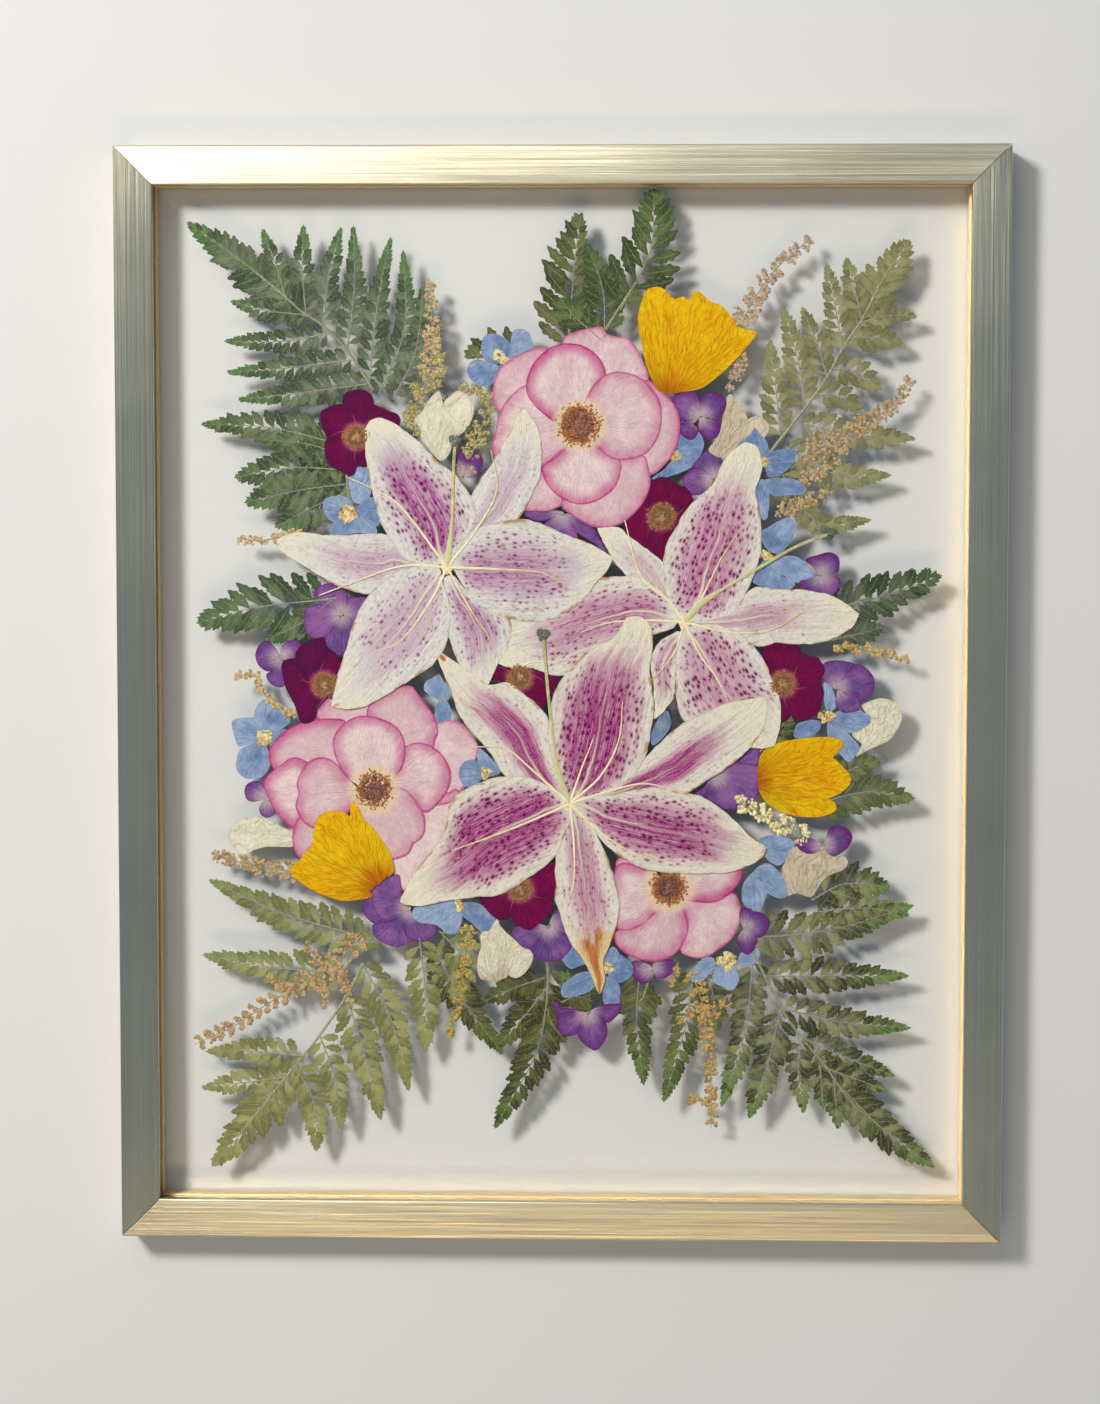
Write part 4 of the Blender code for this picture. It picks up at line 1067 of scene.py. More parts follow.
# The layer, the heart, the stamen disc's radius in mm, then each petal from the backmost: how
# much it blushes, from 0 to 1, and its outline.
PINK_ROSES = {
    "rose_pink_top": (3, (579, 425), 9.9, [
        (0.12, [562, 340, 575, 332, 590, 328, 602, 327, 606, 334, 616, 337, 627, 338, 635, 346,
            642, 360, 648, 378, 640, 400, 610, 402, 580, 390, 562, 365]),
        (0.15, [560, 356, 545, 348, 532, 349, 515, 356, 501, 366, 493, 380, 492, 395, 496, 410,
            520, 420, 552, 408]),
        (0.35, [575, 440, 557, 459, 541, 466, 520, 470, 500, 466, 491, 448, 495, 430, 498, 414,
            508, 398, 526, 385, 545, 395, 565, 412]),
        (0.3, [562, 450, 541, 470, 527, 488, 520, 508, 533, 511, 547, 511, 560, 506, 574, 498,
            582, 470]),
        (0.3, [600, 420, 622, 388, 646, 380, 660, 390, 672, 402, 679, 417, 679, 434, 674, 452,
            663, 466, 650, 475, 630, 470, 605, 445]),
        (0.45, [588, 450, 616, 456, 642, 455, 648, 468, 650, 484, 643, 502, 630, 517, 618, 525,
            603, 528, 590, 526, 576, 518, 560, 506, 566, 490, 575, 465]),
        (0.7, [572, 440, 556, 456, 543, 464, 541, 473, 548, 487, 560, 498, 575, 504, 590, 503,
            605, 496, 615, 486, 620, 472, 619, 459, 602, 450, 592, 438]),
        (0.85, [560, 425, 540, 412, 528, 398, 525, 384, 530, 368, 541, 354, 556, 345, 575, 344,
            591, 351, 601, 362, 605, 374, 603, 387, 597, 402, 585, 420]),
        (0.5, [578, 415, 585, 399, 594, 383, 607, 374, 622, 372, 640, 378, 652, 389, 660, 404,
            661, 422, 656, 440, 644, 454, 626, 460, 610, 458, 595, 446, 583, 432]),
    ]),
    "rose_pink_left": (2, (373, 789), 8.8, [
        (0.0, [380, 800, 430, 790, 454, 796, 458, 812, 449, 838, 434, 864, 412, 892, 397, 884,
            390, 860]),
        (0.05, [385, 785, 400, 745, 430, 725, 455, 720, 470, 733, 477, 748, 471, 768, 463, 788,
            448, 800, 432, 806, 410, 800]),
        (0.6, [436, 786, 446, 792, 454, 788, 459, 792, 454, 800, 440, 804, 428, 798]),
        (0.25, [345, 770, 316, 718, 319, 706, 328, 697, 345, 690, 366, 692, 386, 712, 380, 750]),
        (0.55, [375, 780, 365, 722, 372, 697, 392, 688, 409, 685, 416, 692, 425, 704, 433, 716,
            437, 731, 434, 740, 431, 748, 405, 765]),
        (0.75, [350, 770, 346, 724, 332, 718, 312, 719, 295, 724, 280, 733, 270, 745, 267, 756,
            271, 766, 285, 790, 320, 800]),
        (0.8, [350, 795, 300, 758, 278, 765, 262, 780, 265, 793, 272, 807, 281, 819, 292, 828,
            305, 820, 330, 812]),
        (0.4, [340, 822, 312, 812, 298, 816, 292, 828, 291, 841, 295, 853, 303, 859, 316, 852,
            345, 842]),
        (0.5, [360, 795, 346, 776, 334, 762, 320, 756, 307, 761, 299, 772, 295, 784, 297, 793,
            294, 804, 298, 816, 305, 824, 315, 828, 331, 820, 350, 810]),
        (0.6, [378, 786, 394, 765, 402, 748, 415, 742, 430, 745, 440, 753, 447, 764, 450, 776,
            446, 790, 437, 802, 424, 812, 410, 800, 394, 790]),
        (0.3, [368, 795, 384, 786, 400, 787, 412, 796, 421, 810, 424, 823, 421, 836, 412, 843,
            408, 852, 398, 857, 389, 858, 368, 850, 350, 825, 352, 800]),
        (0.65, [370, 790, 350, 780, 338, 765, 332, 750, 332, 738, 338, 727, 350, 718, 362, 715,
            380, 718, 395, 726, 403, 740, 404, 755, 400, 769, 389, 780]),
    ]),
    "rose_pink_right": (3, (668, 887), 8.2, [
        (0.2, [668, 890, 652, 868, 636, 858, 618, 858, 616, 868, 632, 880, 646, 888]),
        (0.3, [668, 890, 690, 898, 714, 897, 733, 892, 740, 905, 740, 920, 733, 937, 720, 948,
            705, 957, 692, 957, 680, 951, 684, 935, 686, 920, 679, 903]),
        (0.55, [665, 893, 650, 912, 632, 926, 616, 930, 614, 940, 621, 950, 635, 958, 655, 961,
            671, 956, 681, 946, 688, 930, 686, 915, 681, 903, 675, 893]),
        (0.6, [668, 885, 643, 868, 620, 862, 611, 880, 608, 905, 613, 925, 625, 930, 640, 925,
            654, 913, 663, 900]),
        (0.9, [670, 885, 682, 868, 702, 858, 725, 860, 741, 868, 740, 880, 731, 892, 717, 901,
            700, 902, 685, 899]),
    ]),
}
# The same for the burgundy ones, with how plum-coloured each petal is.
BURGUNDY_ROSES = {
    "rose_burgundy_upper_left": (3, (355, 437), 5.6, [
        (0.45, [355, 437, 352, 452, 354, 462, 360, 467, 367, 466, 378, 455, 370, 443]),
        (0.35, [355, 437, 352, 416, 365, 403, 376, 406, 387, 411, 397, 415, 399, 424, 387, 434,
            369, 441]),
        (0.8, [352, 434, 344, 414, 341, 404, 343, 395, 350, 391, 359, 390, 368, 393, 373, 402,
            370, 416, 360, 430]),
        (0.6, [355, 439, 343, 446, 330, 444, 322, 430, 319, 416, 322, 410, 332, 406, 343, 405,
            354, 420]),
        (0.55, [358, 437, 342, 431, 326, 439, 323, 450, 327, 464, 338, 471, 350, 476, 355, 469,
            354, 455]),
    ]),
    "rose_burgundy_top": (2, (661, 517), 6.4, [
        (0.0, [660, 517, 680, 503, 692, 497, 691, 515, 680, 532, 668, 527]),
        (0.05, [659, 519, 641, 505, 631, 512, 623, 521, 624, 536, 629, 548, 636, 553, 643, 550,
            653, 535]),
        (0.1, [655, 517, 645, 536, 640, 552, 646, 560, 653, 563, 663, 563, 671, 548, 675, 530,
            668, 517]),
        (0.0, [658, 520, 641, 505, 645, 492, 651, 481, 660, 477, 669, 478, 677, 484, 686, 488,
            692, 498, 682, 510, 672, 520]),
    ]),
    "rose_burgundy_right": (3, (783, 684), 5.8, [
        (0.1, [783, 684, 770, 660, 760, 655, 752, 668, 756, 690, 768, 696]),
        (0.25, [783, 682, 793, 704, 791, 714, 783, 722, 768, 722, 760, 706, 768, 690]),
        (0.15, [780, 684, 800, 680, 815, 684, 824, 691, 822, 702, 819, 712, 808, 719, 797, 721,
            790, 714, 784, 700]),
        (0.2, [780, 686, 788, 668, 798, 652, 810, 656, 819, 658, 825, 670, 821, 680, 823, 691,
            806, 688, 790, 690]),
        (0.1, [783, 686, 768, 672, 762, 652, 769, 641, 776, 635, 786, 638, 795, 641, 800, 648,
            800, 660, 794, 674]),
    ]),
    "rose_burgundy_bottom": (3, (519, 888), 5.6, [
        (0.2, [519, 888, 505, 880, 488, 884, 479, 897, 490, 901, 506, 899]),
        (0.15, [519, 887, 504, 893, 490, 898, 479, 899, 483, 906, 490, 914, 497, 919, 506, 919,
            512, 914, 519, 901]),
        (0.05, [519, 887, 535, 890, 550, 896, 552, 904, 550, 911, 541, 920, 530, 929, 519, 926,
            511, 919, 509, 910, 512, 899]),
        (0.0, [517, 888, 526, 876, 540, 867, 551, 861, 557, 866, 558, 876, 561, 883, 558, 894,
            549, 898, 533, 896]),
    ]),
    "rose_burgundy_left": (3, (323, 684), 5.8, [
        (0.3, [323, 684, 333, 672, 343, 676, 340, 692, 329, 699]),
        (0.4, [322, 686, 314, 664, 318, 642, 329, 649, 338, 657, 339, 668, 332, 680]),
        (0.75, [320, 684, 312, 700, 296, 697, 286, 688, 281, 674, 281, 662, 290, 658, 300, 660,
            312, 670]),
        (0.6, [322, 684, 312, 676, 296, 680, 283, 680, 287, 693, 293, 704, 300, 722, 313, 719,
            317, 706, 325, 696]),
        (1.0, [318, 676, 305, 682, 297, 670, 294, 655, 300, 645, 311, 640, 322, 637, 325, 647,
            325, 658, 320, 668]),
    ]),
    "rose_burgundy_middle": (3, (519, 677), 5.6, [
        (0.1, [519, 677, 506, 662, 512, 652, 528, 652, 534, 664]),
        (0.35, [519, 677, 505, 668, 492, 664, 485, 654, 483, 666, 486, 677, 497, 681, 508, 685]),
        (0.0, [519, 677, 530, 666, 545, 670, 558, 675, 552, 692, 546, 700, 536, 690]),
        (0.05, [517, 680, 528, 674, 540, 678, 546, 688, 545, 700, 541, 709, 534, 708, 525, 698]),
    ]),
}


def loop_through(points, count):
    """Return evenly spaced points of a closed Catmull-Rom curve through the given ones."""
    points = np.asarray(points, float)
    shifted = [np.roll(points, shift, axis=0) for shift in (1, 0, -1, -2)]
    share = np.linspace(0, 1, 16, endpoint=False)[:, None, None]
    fine = catmull_rom(*shifted, share).transpose(1, 0, 2).reshape(-1, 2)
    return evenly(np.concatenate([fine, fine[:1]]), count + 1)[:-1]


def petal_shapes(outlines, tones, heart, level, random):
    """Flat petals, stacked from the backmost: rings from each petal's middle to its outline.

    Ring r lies r of the way from the outline's mean point to the outline, and stands
    t sqrt(1 - r^2) above the petal's level; two rings like it close the back. The outline runs
    clockwise and wavers by a sum of cosines. The values are the distances in mm from the
    petal's edge and from the flower's heart, and the slope of the line to a point 4 mm behind
    the heart.
    """
    edges = np.stack([loop_through(placed(outline), PETAL_TURNS) for outline in outlines])
    x, y = edges[..., 0], edges[..., 1]
    area = (x * np.roll(y, -1, axis=1) - y * np.roll(x, -1, axis=1)).sum(axis=1)
    edges[area > 0] = edges[area > 0, ::-1]
    middle = edges.mean(axis=1)
    turn = np.linspace(0, 2 * np.pi, PETAL_TURNS, endpoint=False)
    out = edges - middle[:, None]
    length = np.linalg.norm(out, axis=2)
    for waves in RUFFLE_WAVES:
        phase = random.uniform(0, 2 * np.pi, (len(edges), 1))
        length = length + RUFFLE / waves**0.5 * np.cos(waves * turn + phase)
    edges = middle[:, None] + out / np.linalg.norm(out, axis=2)[..., None] * length[..., None]
    spread = np.append(np.linspace(1 / PETAL_RINGS, 1, PETAL_RINGS), PETAL_BACK_RINGS)
    face = np.append(np.ones(PETAL_RINGS), -np.ones(len(PETAL_BACK_RINGS)))
    flat = middle[:, None, None] + spread[:, None, None] * (edges - middle[:, None])[:, None]
    levels = level + (np.arange(len(edges)) - len(edges) / 2) * PETAL_STEP
    crown = PETAL_HALF_THICKNESS * face * np.sqrt(np.maximum(1.02 - spread**2, 0.02))
    high = np.broadcast_to(levels[:, None, None] + crown[:, None], flat.shape[:3])
    poles = np.stack([np.c_[middle, levels + PETAL_HALF_THICKNESS],
                      np.c_[middle, levels - PETAL_HALF_THICKNESS]], axis=1)
    inset = np.linalg.norm(flat[:, :, :, None] - edges[:, None, None], axis=-1).min(axis=-1) / MM
    root = placed(heart)[0]
    away = np.linalg.norm(flat - root, axis=-1) / MM
    aim = middle - root
    aim /= np.linalg.norm(aim, axis=1)[:, None]
    from_root = (flat - root) / MM
    ahead = (from_root * aim[:, None, None]).sum(axis=-1) + 4
    aside = from_root[..., 1] * aim[:, None, None, 0] - from_root[..., 0] * aim[:, None, None, 1]
    return closed_rings(
        np.concatenate([flat, high[..., None]], axis=-1), poles, inset=inset, away=away,
        spoke=aside / np.maximum(ahead, 1.5), tone=np.asarray(tones)[:, None, None],
        own=random.uniform(0, 1, (len(edges), 1, 1)))


def round_about(middle, angles, reach):
    """Return the points that lie at these angles and distances round a middle."""
    aims = np.stack([np.cos(angles), np.sin(angles)], axis=1)
    return middle + aims * np.broadcast_to(reach, len(aims))[:, None]


def stamen_shapes(heart, radius, level, random):
    """Dried stamens: a crowded ring of anthers round a low disc of pistils, on fine filaments.

    An anther's distance from the middle is the radius times the root of an even random number,
    and a few lie loose outside.
    """
    middle = placed(heart)[0]
    angle = random.uniform(0, 2 * np.pi, ANTHERS)
    share = np.sqrt(random.uniform(0, 1, ANTHERS)) * random.uniform(0.9, 1.04, ANTHERS)
    loose = random.uniform(0, 1, ANTHERS) < 0.06
    share = np.where(loose, random.uniform(1.0, 1.2, ANTHERS), share)
    flat = round_about(middle, angle, radius * share)
    high = level + (0.32 - 0.1 * share + random.uniform(0, 0.1, ANTHERS)) * MM
    anthers = bead_shapes(np.c_[flat, high], random.uniform(0.3, 0.58, ANTHERS) * MM, 0.45,
                          share, random.uniform(0, 1, ANTHERS))
    rings = np.repeat((0.86, 0.6, 0.3), DISCS // 3)
    flat = np.tile(middle, (DISCS, 1)) + random.normal(0, 0.03 * radius, (DISCS, 2))
    high = level + np.linspace(0.1, 0.22, DISCS) * MM
    discs = bead_shapes(np.c_[flat, high], radius * rings * random.uniform(0.94, 1.06, DISCS),
                        0.15 * MM / radius, rings, np.full(DISCS, 0.45), 0.05, 10)
    threads = []
    turns = np.linspace(0, 2 * np.pi, THREADS, endpoint=False)
    for turn in turns + random.uniform(-0.05, 0.05, THREADS):
        aim = np.array((np.cos(turn), np.sin(turn)))
        bend = np.array((-aim[1], aim[0])) * random.uniform(-0.15, 0.15) * radius
        reach = radius * random.uniform(0.9, 1.15)
        path = middle + aim * reach * np.array([[0.3], [0.6], [0.85], [1.0]])
        path = path + bend * np.array([[0.1], [0.4], [0.7], [1.0]])
        threads.append(stem_shape(path, THREAD_HALF_WIDTH, level + THREAD_LIFT, around=4,
                                  tone=1.05))
    return joined([anthers, discs] + threads)


def petal_finish(name, body, light, rim_colour, rim, heart_colour, heart, vein_colour, veins,
                 fan=9.0, crinkle=0.00015, seam=None, edge_shade=0.35, crease_shade=None, waver=0.25):
    """A dried petal: cloudy body, a darker rim that feathers inward, veins fanning from the heart.

    Veins are noise over the slope of the line to the heart, so they run out along the petal.
    rim and heart are the distances in mm where their colours are full and where they end; a
    petal's tone strengthens and widens its rim. The wrinkles carry painted shade in their hollows
    and a painted highlight on their crests, and the colour given for creases is painted shade.
    """
    finish = Finish(name)
    inset, away, spoke = (finish.measure(key) for key in ("inset", "away", "spoke"))
    tone, own = finish.measure("tone"), finish.measure("own")
    drift = finish.noise(finish.place(), 140.0, 2.0)
    fanned = spoke * fan + drift * waver * 4
    where = {0: fanned, 1: away * 0.07, 2: own * 40}
    where = finish.add("ShaderNodeCombineXYZ", inputs=where)
    vein = finish.noise(where, 2.0, 4.0, 0.7)
    fine = finish.noise(finish.place(), 1100.0, 3.0, 0.6)
    wrinkle = finish.noise(finish.place(), 380.0, 5.0, 0.7, 0.6)
    cloud = finish.noise(finish.place(), 110.0, 4.0, 0.6)
    colour = finish.mix((cloud * 0.8 + own * 0.2).step(0.36, 0.68), body, light)
    # Painted shade and highlight: darker in the wrinkles' hollows, paler on their crests.
    colour = finish.mix(wrinkle.step(0.5, 0.3) * 0.4, colour, toned(body, 0.7))
    colour = finish.mix(wrinkle.step(0.52, 0.72) * 0.4, colour, toned(light, 1.12))
    colour = finish.mix(vein.step(0.45, 0.75) * veins, colour, vein_colour)
    outside = away.step(heart[0], heart[0] + 5)
    feather = inset + (vein - 0.5) * rim[1] * 0.35 + (cloud - 0.5) * rim[1] * 0.3
    wide = feather.step(rim[1], rim[0]) * (tone * 0.75 + 0.1)
    narrow = feather.step(rim[0] * 3, rim[0] * 0.4) * (tone * 0.4 + 0.6)
    colour = finish.mix(wide.math("MAXIMUM", narrow) * outside, colour, rim_colour)
    glow = (away + (vein - 0.5) * (heart[1] - heart[0]) * 1.3).step(heart[1], heart[0])
    colour = finish.mix(glow * 0.9, colour, heart_colour)
    if seam:
        line = inset.step(0.75, 0.15) * (away + (cloud - 0.5) * 8).step(14, 7)
        colour = finish.mix(line * 0.6, colour, seam)
    dark = toned(rim_colour, 0.5)
    colour = finish.mix(inset.step(0.42, 0.0) * edge_shade * outside, colour, dark)
    folds = finish.noise(where, 0.8, 2.0, 0.5)
    creased = (folds - 0.5).math("ABSOLUTE").step(0.05, 0.0)
    # Painted shade: the colour given for creases darkens the fold lines and the hollows between
    # veins.
    if crease_shade:
        colour = finish.mix(creased * 0.35 + vein.step(0.5, 0.34) * 0.35, colour, crease_shade)
    colour = finish.mix(fine.step(0.35, 0.8) * 0.14, colour, dark)
    height = vein * 0.6 + fine * 0.25 + wrinkle * 0.9 + cloud * 0.6 - creased * 0.25
    finish.set(Base_Color=colour, Roughness=0.5 + fine * 0.16, Specular_IOR_Level=0.03,
               Normal=finish.bump(height, crinkle))
    return finish


def stamen_finish(name, middle, ring, edge):
    """Dried stamens: dusty in the middle, dark round it, rust and gold towards the edge."""
    finish = Finish(name)
    share, own, high = (finish.measure(key) for key in ("tone", "own", "along"))
    grain = finish.noise(finish.place(), 1600.0, 3.0, 0.7)
    clumps = finish.noise(finish.place(), 620.0, 3.0, 0.7)
    blurred = share + (grain - 0.5) * 0.4 + (own - 0.5) * 0.3 + (clumps - 0.5) * 1.5
    colour = finish.mix(blurred.step(0.18, 0.42), middle, ring)
    colour = finish.mix(blurred.step(0.62, 0.86), colour, edge)
    colour = finish.mix(own.step(0.8, 1.0) * 0.6, colour, (0.02, 0.008, 0.006))
    colour = finish.mix(own.step(0.2, 0.0) * 0.45, colour, edge)
    # Painted shade: each anther and disc darkens towards its underside; the filaments darken
    # towards the middle too.
    finish.set(Base_Color=finish.mix(high.step(0.55, 0.1) * 0.6, colour, (0.03, 0.012, 0.008)),
               Roughness=0.7, Normal=finish.bump(grain, 0.0002))
    return finish


def add_flowers(table, slot, suffix, petals, random, centre_shapes=None, centre=None):
    """Add every flower of a table; those with a radius have a centre of their own finish."""
    for name, (layer, heart, radius, leaves) in table.items():
        level = level_of(layer)
        tones, outlines = zip(*leaves)
        parts = [(petal_shapes(outlines, tones, heart, level, random), petals)]
        if radius:
            parts.append((centre_shapes(heart, radius * MM, level, random), centre))
        nodes = [name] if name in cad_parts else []
        add_piece(f"{name}_{suffix}", slot, parts, *nodes)


rose_random = np.random.default_rng(21)
pink_petals = petal_finish(
    "pink_edged_petal", body=seen(210, 178, 182), light=seen(228, 208, 202),
    rim_colour=seen(184, 4, 120), rim=(0.8, 7.5), heart_colour=seen(226, 200, 162),
    heart=(10, 15), vein_colour=seen(212, 146, 172), veins=0.4, crinkle=0.00045,
)
pink_stamens = stamen_finish("rose_stamens", seen(136, 90, 80), seen(72, 22, 26),
                             seen(162, 98, 34))
add_flowers(PINK_ROSES, "rose_pink", "flower", pink_petals, rose_random, stamen_shapes,
            pink_stamens)
burgundy_petals = petal_finish(
    "burgundy_petal", body=seen(96, 0, 52), light=seen(116, 0, 64), rim_colour=seen(70, 12, 60),
    rim=(0.6, 14), heart_colour=seen(200, 96, 128), heart=(4.0, 8.5),
    vein_colour=seen(154, 12, 88), veins=0.4, crinkle=0.0004, seam=seen(214, 96, 140),
    edge_shade=0.5,
)
burgundy_stamens = stamen_finish("burgundy_stamens", seen(172, 136, 84), seen(104, 62, 26),
                                 seen(142, 98, 44))
add_flowers(BURGUNDY_ROSES, "rose_burgundy", "flower", burgundy_petals, rose_random,
            stamen_shapes, burgundy_stamens)

# ---------------------------------------------------------------------------------------------
# The small florets: sky-blue delphinium with a cream bee in the middle, and hydrangea with four
# round petals in purples round a tiny green-white cross.
# ---------------------------------------------------------------------------------------------

BEE_SCRAPS = 7
BEE_GRAINS = 18

# The layer, the heart, the bee's radius in mm, then each petal from the backmost: how faded it
# is, from 0 to 1, and its outline.
BLUE_FLORETS = {
    "blue_top": (1, (498, 358), 4.6, [
        (0.4, [500, 358, 508, 348, 510, 338, 513, 331, 520, 329, 527, 332, 531, 340, 533, 349,
            526, 353, 514, 359]),
        (0.2, [498, 366, 514, 362, 528, 365, 525, 378, 510, 381, 498, 374]),
        (0.1, [495, 364, 485, 361, 480, 352, 481, 342, 484, 336, 492, 334, 500, 336, 507, 342,
            510, 350, 503, 360]),
        (0.0, [497, 366, 488, 363, 478, 360, 470, 362, 466, 370, 468, 378, 475, 384, 484, 387,
            491, 384, 495, 375]),
    ]),
    "blue_upper_left": (2, (347, 511), 6.0, [
        (0.0, [352, 502, 348, 490, 346, 481, 352, 472, 357, 467, 366, 467, 370, 480, 369, 495,
            362, 503]),
        (0.2, [355, 510, 366, 498, 378, 501, 380, 519, 370, 529, 360, 520]),
        (0.1, [350, 514, 337, 522, 328, 520, 322, 509, 323, 500, 332, 496, 342, 496, 351, 501]),
        (0.3, [347, 517, 334, 521, 328, 529, 332, 535, 346, 534, 360, 533, 375, 534, 372, 522,
            360, 517]),
    ]),
    "blue_left": (1, (262, 735), 5.6, [
        (0.3, [265, 735, 280, 728, 292, 735, 290, 750, 275, 752]),
        (0.25, [264, 733, 254, 724, 253, 712, 258, 702, 264, 698, 273, 700, 282, 704, 288, 713,
            288, 722, 278, 729]),
        (0.4, [263, 737, 246, 744, 237, 745, 232, 733, 231, 720, 245, 717, 259, 718, 266, 726]),
        (0.5, [260, 740, 246, 745, 238, 750, 235, 760, 235, 769, 241, 776, 248, 778, 259, 777,
            266, 770, 269, 762, 267, 750]),
    ]),
    "blue_upper_right": (2, (764, 462), 3.0, [
        (0.0, [745, 460, 733, 468, 729, 460, 735, 448, 743, 440, 750, 447]),
        (0.1, [761, 462, 748, 446, 744, 440, 750, 434, 755, 428, 760, 434, 766, 440, 769, 451,
            768, 460]),
        (0.0, [768, 453, 777, 450, 788, 449, 796, 450, 795, 459, 788, 469, 779, 475, 769, 477,
            765, 467]),
    ]),
    "blue_upper_right_low": (2, (765, 479), 0, [
        (0.0, [766, 480, 758, 481, 755, 494, 758, 508, 762, 519, 767, 518, 769, 505, 769, 491]),
        (0.15, [765, 480, 777, 478, 790, 478, 800, 482, 806, 489, 803, 494, 790, 495, 776, 496,
            768, 491]),
    ]),
    "blue_right": (1, (766, 555), 3.6, [
        (0.1, [764, 560, 757, 569, 752, 580, 760, 586, 770, 587, 780, 583, 782, 573, 774, 564]),
        (0.1, [772, 566, 780, 575, 795, 583, 789, 590, 780, 592, 768, 588]),
        (0.15, [768, 559, 780, 556, 795, 556, 805, 562, 812, 571, 819, 578, 807, 581, 793, 582,
            783, 575, 771, 568]),
        (0.1, [769, 551, 762, 541, 761, 532, 770, 526, 780, 520, 790, 518, 796, 524, 794, 534,
            788, 545, 780, 553]),
    ]),
    "blue_lower_right": (1, (826, 716), 4.6, [
        (0.1, [828, 712, 824, 700, 822, 690, 825, 682, 831, 684, 835, 695, 837, 706]),
        (0.1, [818, 720, 800, 722, 794, 731, 795, 737, 805, 738, 815, 734, 821, 727]),
        (0.5, [828, 722, 838, 731, 848, 733, 855, 740, 860, 747, 856, 755, 850, 762, 843, 757,
            837, 748, 829, 738]),
        (0.3, [828, 720, 835, 713, 845, 708, 856, 707, 864, 712, 871, 716, 868, 724, 858, 731,
            846, 733, 836, 730]),
    ]),
    "blue_bottom": (2, (607, 968), 4.2, [
        (0.15, [596, 962, 580, 965, 570, 968, 563, 962, 560, 954, 565, 948, 572, 945, 582, 952]),
        (0.35, [596, 972, 580, 972, 569, 978, 562, 984, 560, 992, 565, 997, 580, 994, 592, 988]),
        (0.0, [605, 976, 613, 980, 619, 985, 619, 996, 616, 1008, 610, 1012, 604, 1005, 602, 991]),
        (0.1, [606, 966, 603, 957, 608, 949, 613, 946, 618, 952, 620, 960, 615, 967]),
        (0.0, [606, 968, 615, 961, 619, 954, 625, 958, 631, 963, 632, 972, 628, 978, 618, 982,
            610, 978]),
    ]),
    "blue_left_middle": (1, (443, 700), 0, [
        (0.3, [441, 697, 448, 704, 450, 715, 447, 725, 438, 727, 433, 718, 435, 706]),
        (0.2, [443, 702, 431, 696, 423, 690, 424, 682, 432, 677, 438, 674, 442, 680, 448, 685,
            451, 693]),
    ]),
    "blue_centre": (1, (485, 772), 3.6, [
        (0.1, [478, 770, 476, 758, 477, 748, 482, 750, 492, 760, 500, 770, 490, 776]),
        (0.1, [483, 774, 472, 786, 463, 785, 458, 777, 458, 769, 462, 762, 470, 759, 477, 762]),
    ]),
    "blue_under_rose": (1, (673, 456), 3.6, [
        (0.0, [672, 460, 664, 469, 655, 475, 651, 479, 662, 478, 676, 474, 690, 468, 698, 461,
            685, 455]),
        (0.05, [676, 456, 678, 440, 678, 427, 683, 420, 690, 421, 697, 430, 703, 440, 702, 451,
            694, 462, 685, 462]),
    ]),
    "blue_right_upper": (2, (764, 850), 0, [
        (0.1, [763, 852, 759, 840, 769, 835, 782, 836, 795, 842, 790, 850, 787, 858, 780, 865,
            770, 862]),
    ]),
    "blue_right_low": (3, (752, 872), 0, [
        (0.05, [752, 872, 743, 884, 742, 900, 750, 909, 760, 908, 767, 893, 766, 880, 760, 868]),
        (0.0, [754, 871, 765, 863, 775, 867, 783, 878, 787, 894, 780, 898, 770, 894, 763, 885]),
    ]),
    "blue_under_lily": (2, (459, 903), 4.0, [
        (0.2, [460, 900, 440, 900, 425, 905, 413, 907, 411, 916, 420, 922, 435, 924, 445, 932,
            455, 932, 461, 919]),
        (0.1, [459, 903, 475, 902, 485, 908, 494, 920, 489, 931, 482, 932, 470, 922, 461, 914]),
    ]),
    "blue_faded": (2, (726, 960), 5.4, [
        (0.7, [738, 958, 748, 945, 757, 947, 760, 955, 755, 963, 743, 967]),
        (0.8, [714, 958, 704, 957, 695, 966, 690, 978, 699, 983, 708, 975, 715, 967]),
        (0.8, [720, 962, 713, 972, 713, 981, 721, 986, 730, 990, 737, 985, 739, 975, 732, 964]),
    ]),
    "blue_speck": (1, (660, 724), 0, [
        (0.3, [655, 724, 650, 735, 652, 745, 662, 738, 670, 725, 668, 712, 661, 712]),
    ]),
}
